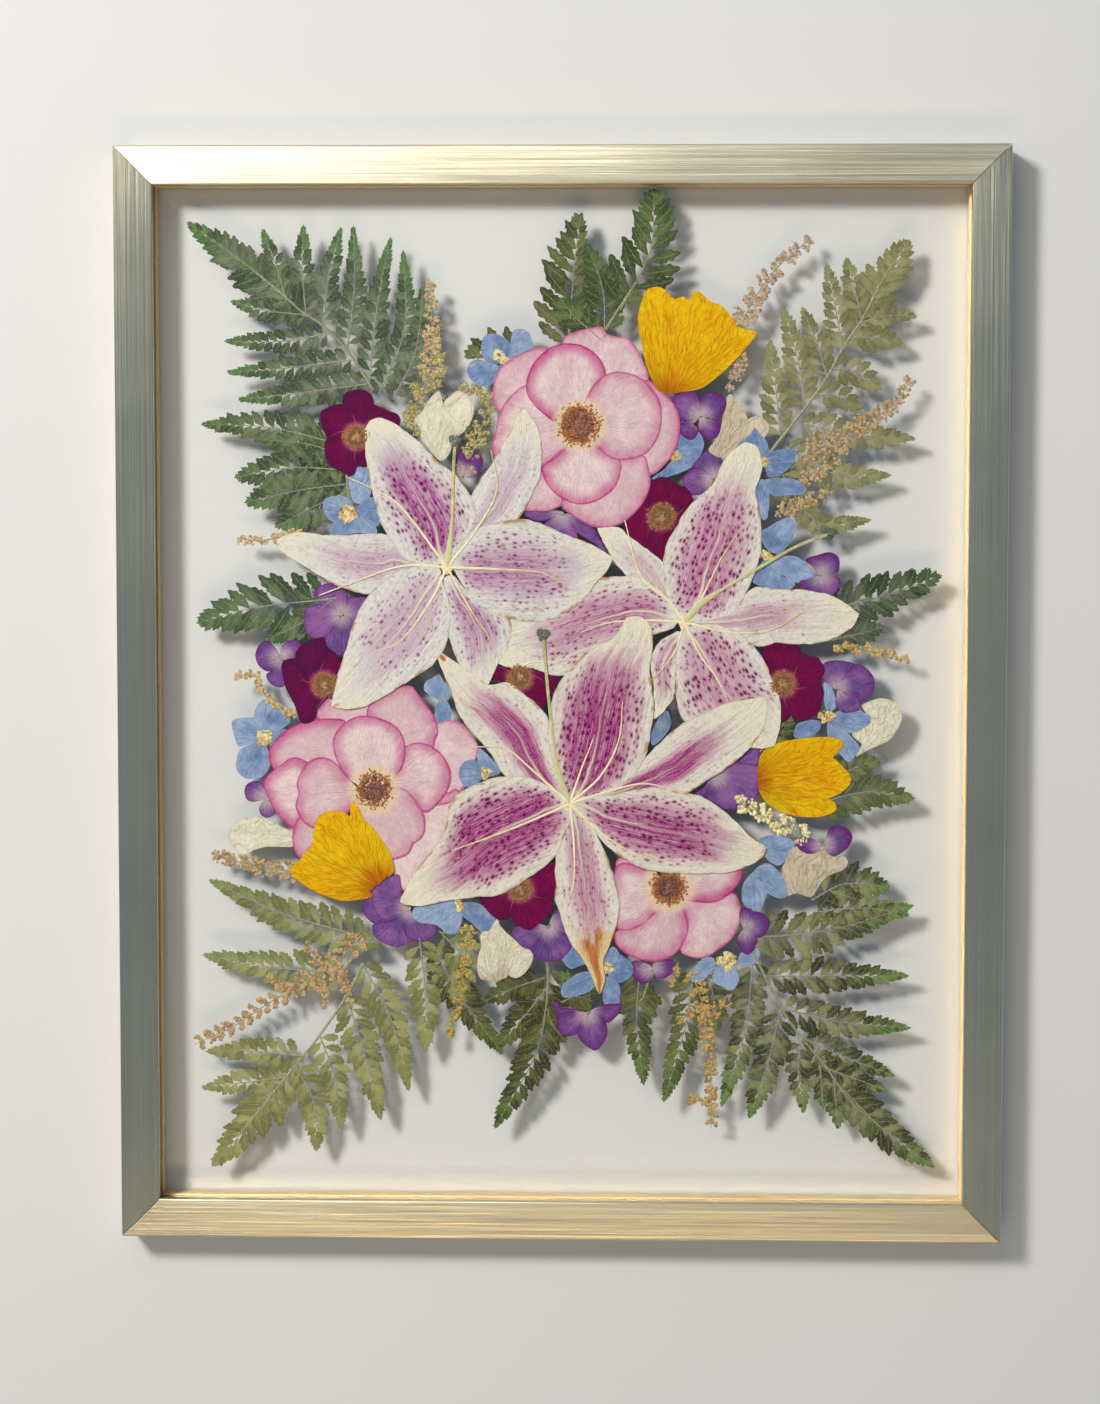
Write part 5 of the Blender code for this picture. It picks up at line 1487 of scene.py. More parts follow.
HYDRANGEA_FLORETS = {
    "hydrangea_top": (2, (700, 416), 0.9, [
        (0.9, [700, 417, 690, 421, 698, 430, 691, 440, 680, 434, 678, 424]),
        (0.75, [700, 416, 690, 421, 680, 420, 673, 409, 673, 398, 682, 392, 692, 391, 699, 397,
            701, 407]),
        (0.75, [700, 415, 700, 403, 702, 396, 710, 392, 720, 394, 726, 401, 724, 411, 718, 420,
            708, 418]),
        (1.0, [700, 417, 708, 419, 718, 421, 720, 428, 717, 436, 710, 440, 702, 436, 698, 427]),
    ]),
    "hydrangea_left": (1, (340, 614), 1.2, [
        (0.3, [342, 613, 345, 600, 352, 597, 369, 598, 370, 610, 358, 623, 348, 620]),
        (0.35, [339, 614, 325, 609, 316, 600, 314, 591, 320, 585, 329, 583, 339, 588, 346, 593,
            346, 604]),
        (0.2, [338, 614, 328, 606, 315, 604, 305, 608, 302, 620, 305, 632, 312, 638, 323, 637,
            333, 628]),
        (0.25, [340, 616, 330, 629, 322, 640, 328, 650, 340, 655, 350, 645, 356, 630, 350, 619]),
    ]),
    "hydrangea_right": (2, (838, 688), 1.0, [
        (0.15, [838, 689, 826, 682, 820, 672, 824, 663, 835, 660, 846, 661, 856, 665, 851, 680]),
        (0.4, [838, 687, 847, 673, 855, 664, 866, 667, 874, 677, 875, 689, 868, 698, 858, 700,
            849, 694]),
        (0.1, [838, 690, 845, 693, 853, 694, 860, 700, 861, 706, 857, 711, 843, 712, 836, 704]),
    ]),
    "hydrangea_lower_right": (1, (716, 775), 0, [
        (0.0, [735, 764, 747, 753, 755, 742, 758, 740, 760, 750, 757, 765, 746, 768]),
        (0.1, [690, 797, 703, 787, 715, 774, 722, 782, 713, 793, 702, 797]),
        (0.0, [714, 776, 724, 766, 733, 762, 745, 763, 758, 766, 761, 776, 760, 786, 757, 796,
            750, 803, 739, 808, 725, 809, 714, 804, 704, 797, 709, 786]),
    ]),
    "hydrangea_lower_left": (1, (408, 908), 1.2, [
        (0.3, [378, 905, 370, 890, 362, 901, 362, 912, 371, 922, 384, 925]),
        (0.25, [406, 908, 393, 918, 380, 922, 371, 924, 372, 933, 380, 941, 394, 946, 405, 943,
            412, 937, 408, 922]),
        (0.3, [407, 909, 415, 918, 425, 923, 434, 926, 434, 933, 428, 939, 416, 941, 405, 935,
            402, 922]),
        (-0.4, [407, 908, 395, 918, 384, 920, 374, 911, 370, 898, 372, 887, 380, 879, 390, 875,
            398, 874, 400, 885, 402, 897]),
    ]),
    "hydrangea_bottom": (3, (587, 1012), 1.2, [
        (0.8, [586, 1013, 570, 1008, 561, 1005, 553, 999, 553, 1007, 559, 1019, 575, 1017]),
        (0.8, [589, 1011, 600, 1005, 610, 1003, 620, 1004, 618, 1013, 608, 1022, 598, 1018]),
        (0.75, [587, 1013, 570, 1011, 560, 1013, 556, 1022, 560, 1033, 570, 1035, 581, 1030]),
        (0.75, [588, 1012, 577, 1029, 580, 1040, 590, 1048, 597, 1049, 604, 1040, 607, 1029,
            602, 1017]),
    ]),
    "hydrangea_under_rose": (1, (562, 514), 1.2, [
        (0.1, [562, 512, 545, 509, 530, 507, 523, 514, 536, 521, 552, 518]),
        (0.2, [563, 514, 577, 517, 591, 525, 600, 540, 608, 556, 596, 545, 586, 539, 574, 530]),
        (0.05, [562, 514, 548, 520, 538, 529, 535, 541, 540, 551, 551, 556, 563, 555, 572, 548,
            577, 536, 571, 522]),
    ]),
    "hydrangea_left_edge": (1, (279, 656), 1.1, [
        (0.8, [279, 656, 281, 645, 290, 640, 298, 642, 299, 653, 290, 661]),
        (0.2, [279, 658, 270, 670, 265, 674, 267, 681, 274, 686, 282, 686, 286, 674]),
        (0.35, [280, 657, 270, 643, 262, 641, 256, 647, 254, 656, 258, 666, 267, 671, 276, 668]),
    ]),
    "hydrangea_left_low": (1, (264, 797), 0, [
        (0.2, [264, 797, 252, 801, 245, 798, 243, 790, 246, 783, 254, 780, 262, 783, 265, 790]),
        (0.2, [264, 798, 258, 806, 259, 813, 265, 817, 272, 814, 275, 806, 270, 799]),
    ]),
    "hydrangea_upper_right": (1, (713, 478), 0, [
        (0.1, [713, 479, 704, 470, 691, 468, 690, 461, 698, 455, 706, 451, 716, 453, 722, 461,
            719, 469]),
        (0.2, [712, 478, 700, 468, 690, 470, 683, 478, 684, 488, 691, 495, 701, 494, 709, 487]),
    ]),
    "hydrangea_upper_left": (1, (461, 476), 0, [
        (0.9, [460, 477, 454, 469, 454, 460, 458, 452, 464, 454, 466, 463, 463, 472]),
        (0.9, [464, 477, 465, 465, 471, 456, 479, 454, 482, 464, 476, 476]),
    ]),
    "hydrangea_right_upper": (2, (821, 575), 0.9, [
        (0.9, [820, 574, 812, 566, 805, 560, 810, 557, 820, 554, 830, 552, 838, 556, 840, 564,
            837, 573]),
        (0.6, [820, 576, 808, 579, 800, 581, 803, 588, 812, 592, 822, 593, 827, 584]),
        (0.5, [821, 576, 835, 574, 840, 580, 838, 590, 830, 596, 820, 592]),
    ]),
    "hydrangea_right_low": (3, (824, 845), 0.9, [
        (0.95, [822, 845, 812, 838, 802, 838, 797, 845, 804, 852, 815, 853]),
        (0.95, [824, 846, 827, 835, 830, 828, 838, 825, 847, 828, 853, 836, 850, 845, 843, 852,
            834, 856, 827, 852]),
    ]),
    "hydrangea_under_lily": (2, (548, 926), 1.2, [
        (0.3, [546, 926, 530, 922, 519, 924, 511, 930, 512, 939, 520, 946, 532, 948, 542, 940]),
        (0.4, [549, 924, 553, 912, 561, 907, 567, 920, 570, 936, 560, 935]),
        (0.3, [548, 926, 538, 938, 530, 948, 535, 958, 545, 961, 558, 960, 568, 951, 571, 940,
            560, 931]),
    ]),
    "hydrangea_beside_rose": (4, (744, 928), 0.9, [
        (0.8, [744, 928, 739, 916, 742, 908, 749, 908, 754, 913, 751, 921]),
        (0.8, [745, 928, 749, 918, 752, 912, 761, 912, 769, 920, 767, 930, 759, 937, 750, 934]),
        (0.85, [744, 929, 737, 938, 739, 947, 746, 954, 753, 950, 757, 941, 752, 933]),
    ]),
    "hydrangea_below_rose": (2, (651, 966), 0, [
        (0.85, [651, 966, 640, 961, 632, 961, 630, 971, 637, 981, 648, 982, 653, 975]),
        (0.85, [652, 966, 655, 961, 665, 959, 673, 960, 673, 970, 666, 977, 656, 977]),
    ]),
}


def bee_shapes(heart, radius, level, random):
    """A floret's bee: a few small crumpled cream petals and grains heaped round its heart.

    A scrap lies at a random angle, 0.2 to 0.62 of the radius out; the grains are strewn about
    the heart in a bell curve.
    """
    middle = placed(heart)[0]
    angle = random.uniform(0, 2 * np.pi, BEE_SCRAPS)
    out = radius * random.uniform(0.2, 0.62, BEE_SCRAPS)
    high = level + random.uniform(0.1, 0.2, BEE_SCRAPS) * MM
    radii = radius * random.uniform(0.3, 0.5, BEE_SCRAPS)
    tones = random.uniform(0, 1, BEE_SCRAPS)
    owns = random.uniform(0, 0.75, BEE_SCRAPS)
    flat = round_about(middle, angle, out)
    scraps = bead_shapes(np.c_[flat, high], radii, 0.06, tones, owns, 0.28, 8)
    flat = middle + random.normal(0, radius * 0.35, (BEE_GRAINS, 2))
    high = np.full(BEE_GRAINS, level + 0.26 * MM)
    radii = radius * random.uniform(0.05, 0.12, BEE_GRAINS)
    tones = random.uniform(0, 1, BEE_GRAINS)
    owns = random.uniform(0.5, 1, BEE_GRAINS)
    return joined([scraps, bead_shapes(np.c_[flat, high], radii, 0.5, tones, owns)])


def bee_finish(name, cream, brown):
    """The crumpled scraps of a bee: cream and yellow with brown folds and a few dark grains."""
    finish = Finish(name)
    tone, own = finish.measure("tone"), finish.measure("own")
    crumple = finish.noise(finish.place(), 620.0, 3.0, 0.7)
    colour = finish.mix((crumple + tone * 0.3).step(0.5, 0.85), cream, brown)
    colour = finish.mix(own.step(0.8, 0.95) * 0.8, colour, toned(brown, 0.25))
    finish.set(Base_Color=colour, Roughness=0.6, Normal=finish.bump(crumple, 0.0006))
    return finish


floret_random = np.random.default_rng(33)
blue_petals = petal_finish(
    "delphinium_petal", body=seen(94, 122, 164), light=seen(158, 176, 206),
    rim_colour=seen(160, 174, 200), rim=(0.2, 7), heart_colour=seen(150, 168, 190), heart=(1, 5),
    vein_colour=seen(58, 84, 138), veins=0.7, fan=10.0, crinkle=0.0005,
)
cream_bee = bee_finish("delphinium_bee", seen(222, 208, 156), seen(176, 130, 56))
add_flowers(BLUE_FLORETS, "blue_floret", "floret", blue_petals, floret_random, bee_shapes,
            cream_bee)
purple_petals = petal_finish(
    "hydrangea_petal", body=seen(90, 64, 128), light=seen(144, 94, 152),
    rim_colour=seen(104, 28, 116), rim=(0.5, 4.5), heart_colour=seen(200, 178, 184),
    heart=(0.8, 8.5), vein_colour=seen(166, 118, 170), veins=0.55, fan=12.0, crinkle=0.0005,
    edge_shade=0.5,
)
green_cross = bee_finish("hydrangea_cross", seen(170, 176, 140), seen(96, 96, 70))
add_flowers(HYDRANGEA_FLORETS, "hydrangea", "floret", purple_petals, floret_random, bee_shapes,
            green_cross)

# ---------------------------------------------------------------------------------------------
# The loose cream petals: crumpled white and tan flowers pressed in side view.
# ---------------------------------------------------------------------------------------------

# As for the florets, but with no bee, so that its radius is 0.
CREAM_PETALS = {
    "white_top": (2, (437, 470), 0, [
        (0.7, [443, 402, 449, 396, 456, 391, 463, 393, 470, 399, 473, 408, 472, 416, 466, 427,
            452, 424, 443, 413]),
        (0.3, [413, 420, 420, 412, 428, 400, 434, 393, 438, 391, 441, 399, 443, 407, 450, 415,
            458, 423, 466, 428, 458, 436, 452, 445, 447, 456, 439, 461, 428, 450, 420, 439,
            419, 429]),
    ]),
    "white_right": (0, (850, 764), 0, [
        (0.3, [852, 760, 858, 752, 863, 745, 856, 739, 852, 733, 860, 729, 868, 725, 873, 718,
            868, 712, 862, 706, 868, 702, 880, 698, 892, 700, 900, 706, 903, 718, 898, 730,
            890, 740, 878, 746, 865, 752]),
    ]),
    "white_bottom": (4, (497, 985), 0, [
        (0.4, [498, 925, 506, 932, 514, 939, 521, 946, 530, 950, 532, 958, 528, 967, 521, 975,
            513, 977, 506, 972, 502, 958, 499, 943]),
        (0.2, [480, 977, 476, 968, 477, 955, 480, 945, 479, 935, 483, 930, 488, 930, 492, 923,
            496, 918, 500, 927, 505, 940, 507, 955, 503, 964, 492, 973]),
    ]),
    "white_left": (1, (310, 838), 0, [
        (0.3, [292, 832, 280, 826, 270, 820, 260, 816, 245, 817, 233, 822, 227, 832, 231, 845,
            240, 854, 251, 850, 265, 846, 280, 846, 292, 845]),
    ]),
}
TAN_PETALS = {
    "tan_top": (1, (712, 466), 0, [
        (0.5, [738, 442, 742, 427, 748, 419, 758, 416, 766, 421, 769, 430, 760, 440]),
        (0.6, [708, 449, 715, 440, 720, 430, 722, 420, 723, 410, 726, 400, 729, 394, 735, 398,
            742, 406, 746, 415, 748, 424, 744, 436, 738, 446, 730, 454, 721, 458, 712, 454]),
    ]),
    "tan_right": (2, (800, 905), 0, [
        (0.4, [782, 868, 785, 862, 790, 850, 795, 846, 800, 848, 806, 853, 815, 848, 823, 846,
            828, 851, 836, 856, 844, 856, 849, 862, 843, 870, 830, 875, 822, 882, 815, 893,
            811, 897, 803, 895, 795, 893, 788, 896, 785, 886, 783, 876]),
    ]),
    "white_bottom_fold": (4, (497, 985), 0, [
        (0.5, [480, 978, 478, 968, 489, 962, 500, 964, 508, 968, 506, 976, 494, 980]),
    ]),
}



def add_crumpled(name, table, body, light, fold, random):
    """Add a table's loose petals: one body colour, and another for veins and painted crease shade.
    """
    body, light, fold = seen(*body), seen(*light), seen(*fold)
    crumpled = petal_finish(
        name, body=body, light=light, rim_colour=seen(206, 198, 176), rim=(0.3, 2),
        heart_colour=body, heart=(0.5, 3), vein_colour=fold, veins=0.5, fan=7.0,
        crinkle=0.0009, crease_shade=fold, waver=0.6,
    )
    add_flowers(table, "cream_petal", "petals", crumpled, random)


cream_random = np.random.default_rng(44)
# The last colour of each is that of the veins and of the painted shade in the creases.
add_crumpled("cream_petal", CREAM_PETALS, (222, 214, 186), (236, 230, 210), (200, 184, 146),
             cream_random)
add_crumpled("tan_petal", TAN_PETALS, (208, 190, 162), (228, 216, 198), (156, 122, 86),
             cream_random)

# ---------------------------------------------------------------------------------------------
# The yellow cups: poppy-like flowers pressed from the side, their thin petals wrinkled and
# folded over each other.
# ---------------------------------------------------------------------------------------------

# As for the cream petals; the first number of a petal is how strongly its rim shows.
YELLOW_CUPS = {
    "cup_yellow_top": (4, (668, 396), 0, [
        (0.2, [668, 392, 698, 382, 722, 350, 735, 328, 746, 330, 757, 332, 750, 343, 735, 360,
            717, 377, 696, 390]),
        (0.3, [668, 392, 690, 350, 693, 312, 690, 297, 696, 291, 703, 295, 710, 302, 722, 306,
            732, 319, 738, 332, 731, 355, 705, 380]),
        (0.5, [662, 392, 648, 372, 641, 345, 637, 320, 641, 302, 646, 290, 655, 287, 663, 289,
            673, 299, 686, 299, 690, 340, 675, 380]),
        (0.7, [663, 393, 650, 378, 644, 352, 641, 330, 646, 314, 657, 306, 672, 301, 690, 300,
            706, 304, 719, 311, 727, 326, 726, 345, 713, 368, 690, 389]),
    ]),
    "cup_yellow_right": (3, (752, 780), 0, [
        (0.2, [758, 776, 760, 756, 770, 746, 788, 740, 815, 737, 832, 737, 844, 742, 838, 752,
            828, 760, 800, 768, 775, 772]),
        (0.2, [760, 778, 780, 785, 805, 790, 826, 797, 835, 802, 837, 809, 830, 814, 815, 817,
            798, 816, 780, 811, 766, 802, 759, 790]),
        (0.45, [758, 778, 759, 764, 770, 756, 790, 751, 812, 751, 830, 756, 842, 765, 852, 778,
            846, 789, 832, 797, 812, 801, 790, 800, 772, 796, 760, 790]),
    ]),
    "cup_orange_left": (4, (378, 884), 0, [
        (0.9, [349, 812, 350, 801, 355, 804, 360, 812, 363, 822, 356, 832, 348, 826]),
        (0.15, [370, 892, 368, 897, 355, 899, 343, 900, 330, 897, 315, 891, 300, 882, 290, 874,
            289, 868, 295, 861, 312, 856, 340, 866]),
        (0.8, [372, 888, 345, 888, 318, 882, 302, 872, 298, 862, 303, 852, 310, 844, 312, 832,
            314, 822, 318, 814, 326, 811, 336, 810, 344, 812, 352, 818, 364, 822, 372, 838,
            378, 862]),
        (0.5, [374, 884, 360, 862, 356, 842, 356, 826, 363, 820, 371, 826, 380, 838, 388, 850,
            392, 862, 392, 872, 384, 877]),
    ]),
}

cup_random = np.random.default_rng(55)
# The darker crease colour is painted shade in the petals' folds.
cup_petals = petal_finish(
    "yellow_cup_petal", body=seen(246, 172, 0), light=seen(254, 200, 10),
    rim_colour=seen(244, 192, 4), rim=(0.6, 3.5), heart_colour=seen(216, 112, 0), heart=(3, 15),
    vein_colour=seen(252, 204, 8), veins=0.7, fan=16.0, crinkle=0.0013,
    crease_shade=seen(216, 120, 0), edge_shade=0.25, waver=0.7,
)
add_flowers(YELLOW_CUPS, "yellow_cup", "petals", cup_petals, cup_random)

# ---------------------------------------------------------------------------------------------
# The lilies: three oriental lilies opened flat, six tepals each, cream at the margin, flushed
# magenta along the middle and freckled dark purple, with six bare filaments and a pistil.
# ---------------------------------------------------------------------------------------------

TEPAL_STATIONS = 60
TEPAL_HALF_SECTION = 15
TEPAL_STEP = 0.05 * MM
TEPAL_HALF_THICKNESS = 0.03 * MM
TEPAL_WAVER = 0.38 * MM
TEPAL_WAVES = (3, 5, 8, 13, 19)
TEPAL_LIFT = 0.022 * MM
FILAMENT_STATIONS = 24
FILAMENT_HALF_WIDTH = 0.55 * MM
FILAMENT_LIFT = 0.24 * MM
PISTIL_STATIONS = 30
PISTIL_HALF_WIDTH = 0.95 * MM
PISTIL_LIFT = 0.3 * MM
# How far along the pistil, and how many times its half width it is there: ovary, style, stigma.
PISTIL_SWELL = ((0, 0.06, 0.2, 0.3, 0.93, 1), (0.6, 1.5, 1.4, 0.75, 0.8, 1.2))
STIGMA_TURNS = (0.4, 2.5, 4.6)
STIGMA_REACH = 1.5 * MM
STIGMA_RADIUS = 2.1 * MM
STIGMA_LIFT = 0.34 * MM
HEART_LUMPS = np.array(((0.9, 0.3), (-0.8, 0.9), (-0.1, -1.0))) * MM
HEART_RADIUS = 2.6 * MM
HEART_LIFT = 0.2 * MM

# Each lily's flush, its wash and its margin.
LILY_COLOURS = {
    "lily_left": ((156, 20, 128), (190, 140, 178), (226, 220, 212)),
    "lily_right": ((166, 6, 122), (194, 128, 166), (230, 222, 210)),
    "lily_front": ((154, 0, 112), (188, 92, 150), (230, 220, 206)),
}

# The layer, the heart, each tepal from the backmost as its left and right edge from heart to
# tip, the filaments, the pistil, and for each tepal the share of its length where it's burnt
# brown, how flushed and how freckled it is.
LILIES = {
    "lily_left": (5, (446, 567), [
        [437, 574, 395, 581, 377, 592, 358, 593, 333, 584, 310, 570, 288, 557, 275, 546],
        [438, 561, 410, 546, 392, 535, 355, 534, 325, 535, 300, 532, 283, 535, 275, 541],
        [450, 560, 462, 515, 476, 485, 487, 468, 498, 452, 510, 430, 517, 415, 523, 409],
        [456, 566, 476, 544, 506, 527, 521, 514, 531, 496, 539, 474, 541, 448, 536, 426, 524, 409],
        [452, 574, 472, 597, 491, 606, 510, 622, 507, 645, 495, 668, 484, 691],
        [442, 576, 446, 604, 446, 624, 448, 640, 456, 659, 468, 678, 484, 691],
        [436, 566, 410, 562, 393, 547, 380, 522, 371, 492, 366, 466, 364, 444, 363, 431, 368, 422],
        [450, 560, 462, 540, 472, 527, 475, 510, 467, 492, 454, 475, 436, 460, 417, 442, 399, 427,
            380, 418, 368, 421],
        [448, 561, 462, 543, 476, 529, 498, 521, 528, 520, 546, 526, 565, 534, 587, 543, 603, 551,
            612, 558],
        [455, 574, 469, 595, 487, 611, 513, 619, 543, 621, 572, 608, 594, 585, 606, 571, 612, 559],
        [440, 577, 449, 606, 447, 636, 436, 659, 414, 677, 388, 692, 366, 705, 347, 709, 331, 706],
        [440, 565, 415, 566, 389, 575, 370, 592, 357, 612, 348, 636, 340, 664, 333, 688, 330, 705],
    ], [
        [400, 507, 372, 489, 345, 477], [400, 566, 345, 585, 318, 595],
        [430, 600, 400, 640, 370, 652], [520, 570, 545, 574, 565, 585],
        [470, 610, 484, 630, 492, 645], [475, 530, 496, 490, 490, 450],
    ], [451, 520, 452, 480, 454, 441],
    [(1, 0.35, 0.3), (1, 0.3, 0.3), (1, 0.7, 0.6), (1, 0.9, 0.8), (1, 0.55, 0.6), (1, 0.25, 0.5)]),
    "lily_right": (4, (684, 622), [
        [675, 622, 640, 592, 621, 571, 608, 552, 600, 537, 596, 528],
        [690, 612, 672, 590, 662, 562, 640, 545, 626, 533, 616, 527, 597, 528],
        [690, 614, 720, 612, 738, 601, 752, 588, 778, 589, 800, 589, 827, 594, 846, 603, 859, 613],
        [690, 630, 720, 632, 744, 641, 760, 647, 779, 642, 800, 644, 827, 641, 851, 628, 860, 614],
        [678, 630, 657, 643, 650, 662, 652, 681, 654, 702, 653, 718],
        [690, 634, 682, 655, 676, 672, 673, 696, 666, 708, 654, 719],
        [678, 618, 667, 600, 664, 579, 663, 558, 668, 539, 679, 521, 691, 504, 712, 483, 721, 464,
            731, 452, 744, 442],
        [694, 622, 728, 615, 745, 596, 755, 571, 761, 547, 761, 526, 759, 507, 755, 491, 760, 475,
            762, 459, 757, 446, 745, 442],
        [676, 627, 645, 638, 613, 654, 587, 668, 557, 675, 533, 669, 509, 667, 496, 662, 488, 651],
        [680, 614, 665, 595, 650, 582, 629, 575, 603, 577, 587, 578, 560, 590, 533, 605, 509, 619,
            495, 635, 488, 650],
        [692, 624, 720, 625, 741, 635, 760, 654, 771, 675, 779, 697, 781, 721, 775, 745],
        [678, 632, 676, 657, 675, 683, 677, 706, 686, 722, 718, 737, 755, 748, 774, 746],
    ], [
        [700, 600, 720, 560, 737, 533], [668, 600, 640, 575, 624, 520],
        [650, 620, 610, 622, 580, 632], [730, 632, 770, 630, 802, 612],
        [675, 650, 662, 668, 648, 682], [700, 655, 718, 680, 728, 702],
    ], [705, 600, 760, 567, 795, 547, 830, 533],
    [(1, 0.2, 0.3), (1, 0.5, 0.3), (1, 0.5, 0.6), (1, 0.6, 1.0), (1, 0.7, 0.6), (1, 0.45, 1.0)]),
    "lily_front": (6, (569, 803), [
        [560, 808, 528, 792, 501, 771, 487, 750, 464, 723, 453, 701, 446, 682, 439, 664, 434, 650],
        [573, 800, 557, 768, 550, 728, 539, 707, 523, 693, 507, 682, 487, 684, 471, 673, 450, 658,
            436, 650],
        [573, 795, 612, 782, 644, 757, 672, 731, 699, 713, 731, 702, 750, 698, 766, 696],
        [573, 806, 621, 803, 660, 798, 690, 790, 714, 776, 737, 759, 755, 741, 766, 719, 767, 698],
        [562, 800, 561, 828, 555, 855, 555, 883, 553, 896, 560, 915, 567, 937, 580, 956, 590, 974,
            598, 993],
        [575, 803, 590, 823, 604, 851, 614, 878, 618, 910, 612, 937, 603, 960, 604, 978, 600, 994],
        [564, 808, 556, 773, 547, 741, 550, 705, 559, 682, 573, 664, 587, 652, 605, 642, 616, 634,
            625, 618],
        [575, 803, 615, 790, 638, 768, 649, 741, 653, 709, 651, 686, 649, 668, 652, 650, 652, 630,
            641, 617, 627, 616],
        [574, 796, 612, 794, 649, 787, 685, 791, 713, 803, 733, 818, 750, 836, 766, 846],
        [570, 808, 587, 820, 604, 843, 626, 860, 653, 870, 685, 873, 717, 873, 744, 867, 761, 858,
            767, 848],
        [564, 797, 539, 781, 516, 775, 489, 778, 466, 787, 450, 801, 445, 823, 436, 842, 415, 870,
            398, 899],
        [575, 808, 565, 830, 555, 855, 539, 869, 516, 884, 494, 895, 466, 897, 443, 900, 420, 905,
            400, 903],
    ], [
        [530, 768, 505, 748, 476, 746], [530, 820, 500, 832, 450, 850],
        [580, 770, 590, 745, 592, 738], [600, 775, 618, 740, 622, 700],
        [610, 790, 645, 783, 682, 792], [598, 830, 632, 852, 668, 861],
        [573, 840, 573, 880, 566, 906],
    ], [556, 765, 549, 710, 542, 634],
    [(0.93, 1.7, 0.3), (1, 1.9, 0.3), (0.66, 0.6, 0.5), (1, 1.2, 1.0), (0.95, 0.9, 0.9),
    (1, 1.2, 1.0)]),
}


def tepal_shapes(edges, heart_level, random, looks):
    """Tepals, all at once: a lens-shaped section from the left edge to the right edge.

    Both edges are smooth curves from heart to tip, wavering by a sum of cosines; at share v of
    the way across, from -1 to 1, the section is about 2t sqrt(1 - v^2) thick, lifted by long
    waves that die out at the heart.
    """
    left = np.stack([curve_through(placed(points), TEPAL_STATIONS + 2) for points in edges[::2]])
    right = np.stack([curve_through(placed(points), TEPAL_STATIONS + 2) for points in edges[1::2]])
    count = len(left)
    run = np.linspace(0, 1, TEPAL_STATIONS + 2)
    aside = right - left
    aside = aside / np.maximum(np.linalg.norm(aside, axis=2), 1 * MM)[..., None]
    for edge, side in ((left, -1), (right, 1)):
        for waves in TEPAL_WAVES:
            phase = random.uniform(0, 2 * np.pi, (count, 1))
            waver = TEPAL_WAVER / waves**0.5 * np.cos(2 * np.pi * waves * run + phase)
            edge += side * aside * (waver * np.sin(np.pi * run) ** 0.5)[..., None]
    across = np.linspace(-1, 1, TEPAL_HALF_SECTION)
    around = np.concatenate([across, across[-2:0:-1]])
    face = np.concatenate([np.ones(TEPAL_HALF_SECTION), -np.ones(TEPAL_HALF_SECTION - 2)])
    share = (around + 1) / 2
    inner = slice(1, -1)
    flat = left[:, inner, None] * (1 - share)[:, None] + right[:, inner, None] * share[:, None]
    along = run[inner][None, :, None]
    heights = heart_level + (np.arange(count) - count / 2)[:, None, None] * TEPAL_STEP
    lift = TEPAL_HALF_THICKNESS * face * np.sqrt(np.maximum(1.03 - around**2, 0.03))
    phase = random.uniform(0, 6, (count, 1, 1))
    waves = TEPAL_LIFT * np.sin(9 * along + 2.2 * around + phase) * np.abs(around)
    high = heights + lift + waves * along
    rings = np.concatenate([flat, high[..., None]], axis=-1)
    base = (left[:, 0] + right[:, 0]) / 2
    tip = (left[:, -1] + right[:, -1]) / 2
    level = heights[:, 0, 0]
    poles = np.stack([np.c_[base, level], np.c_[tip, level]], axis=1)
    half = np.linalg.norm(left - right, axis=2)[:, inner, None] / 2
    reach = along * np.linalg.norm(tip - base, axis=1)[:, None, None]
    burnt, flushed, freckled = np.array(looks).T[..., None, None]
    return closed_rings(
        rings, poles, along=along, across=around, offset=half / MM * around, reach=reach / MM,
        tone=random.uniform(0, 1, (count, 1, 1)), burnt=burnt, flushed=flushed,
        freckled=freckled)


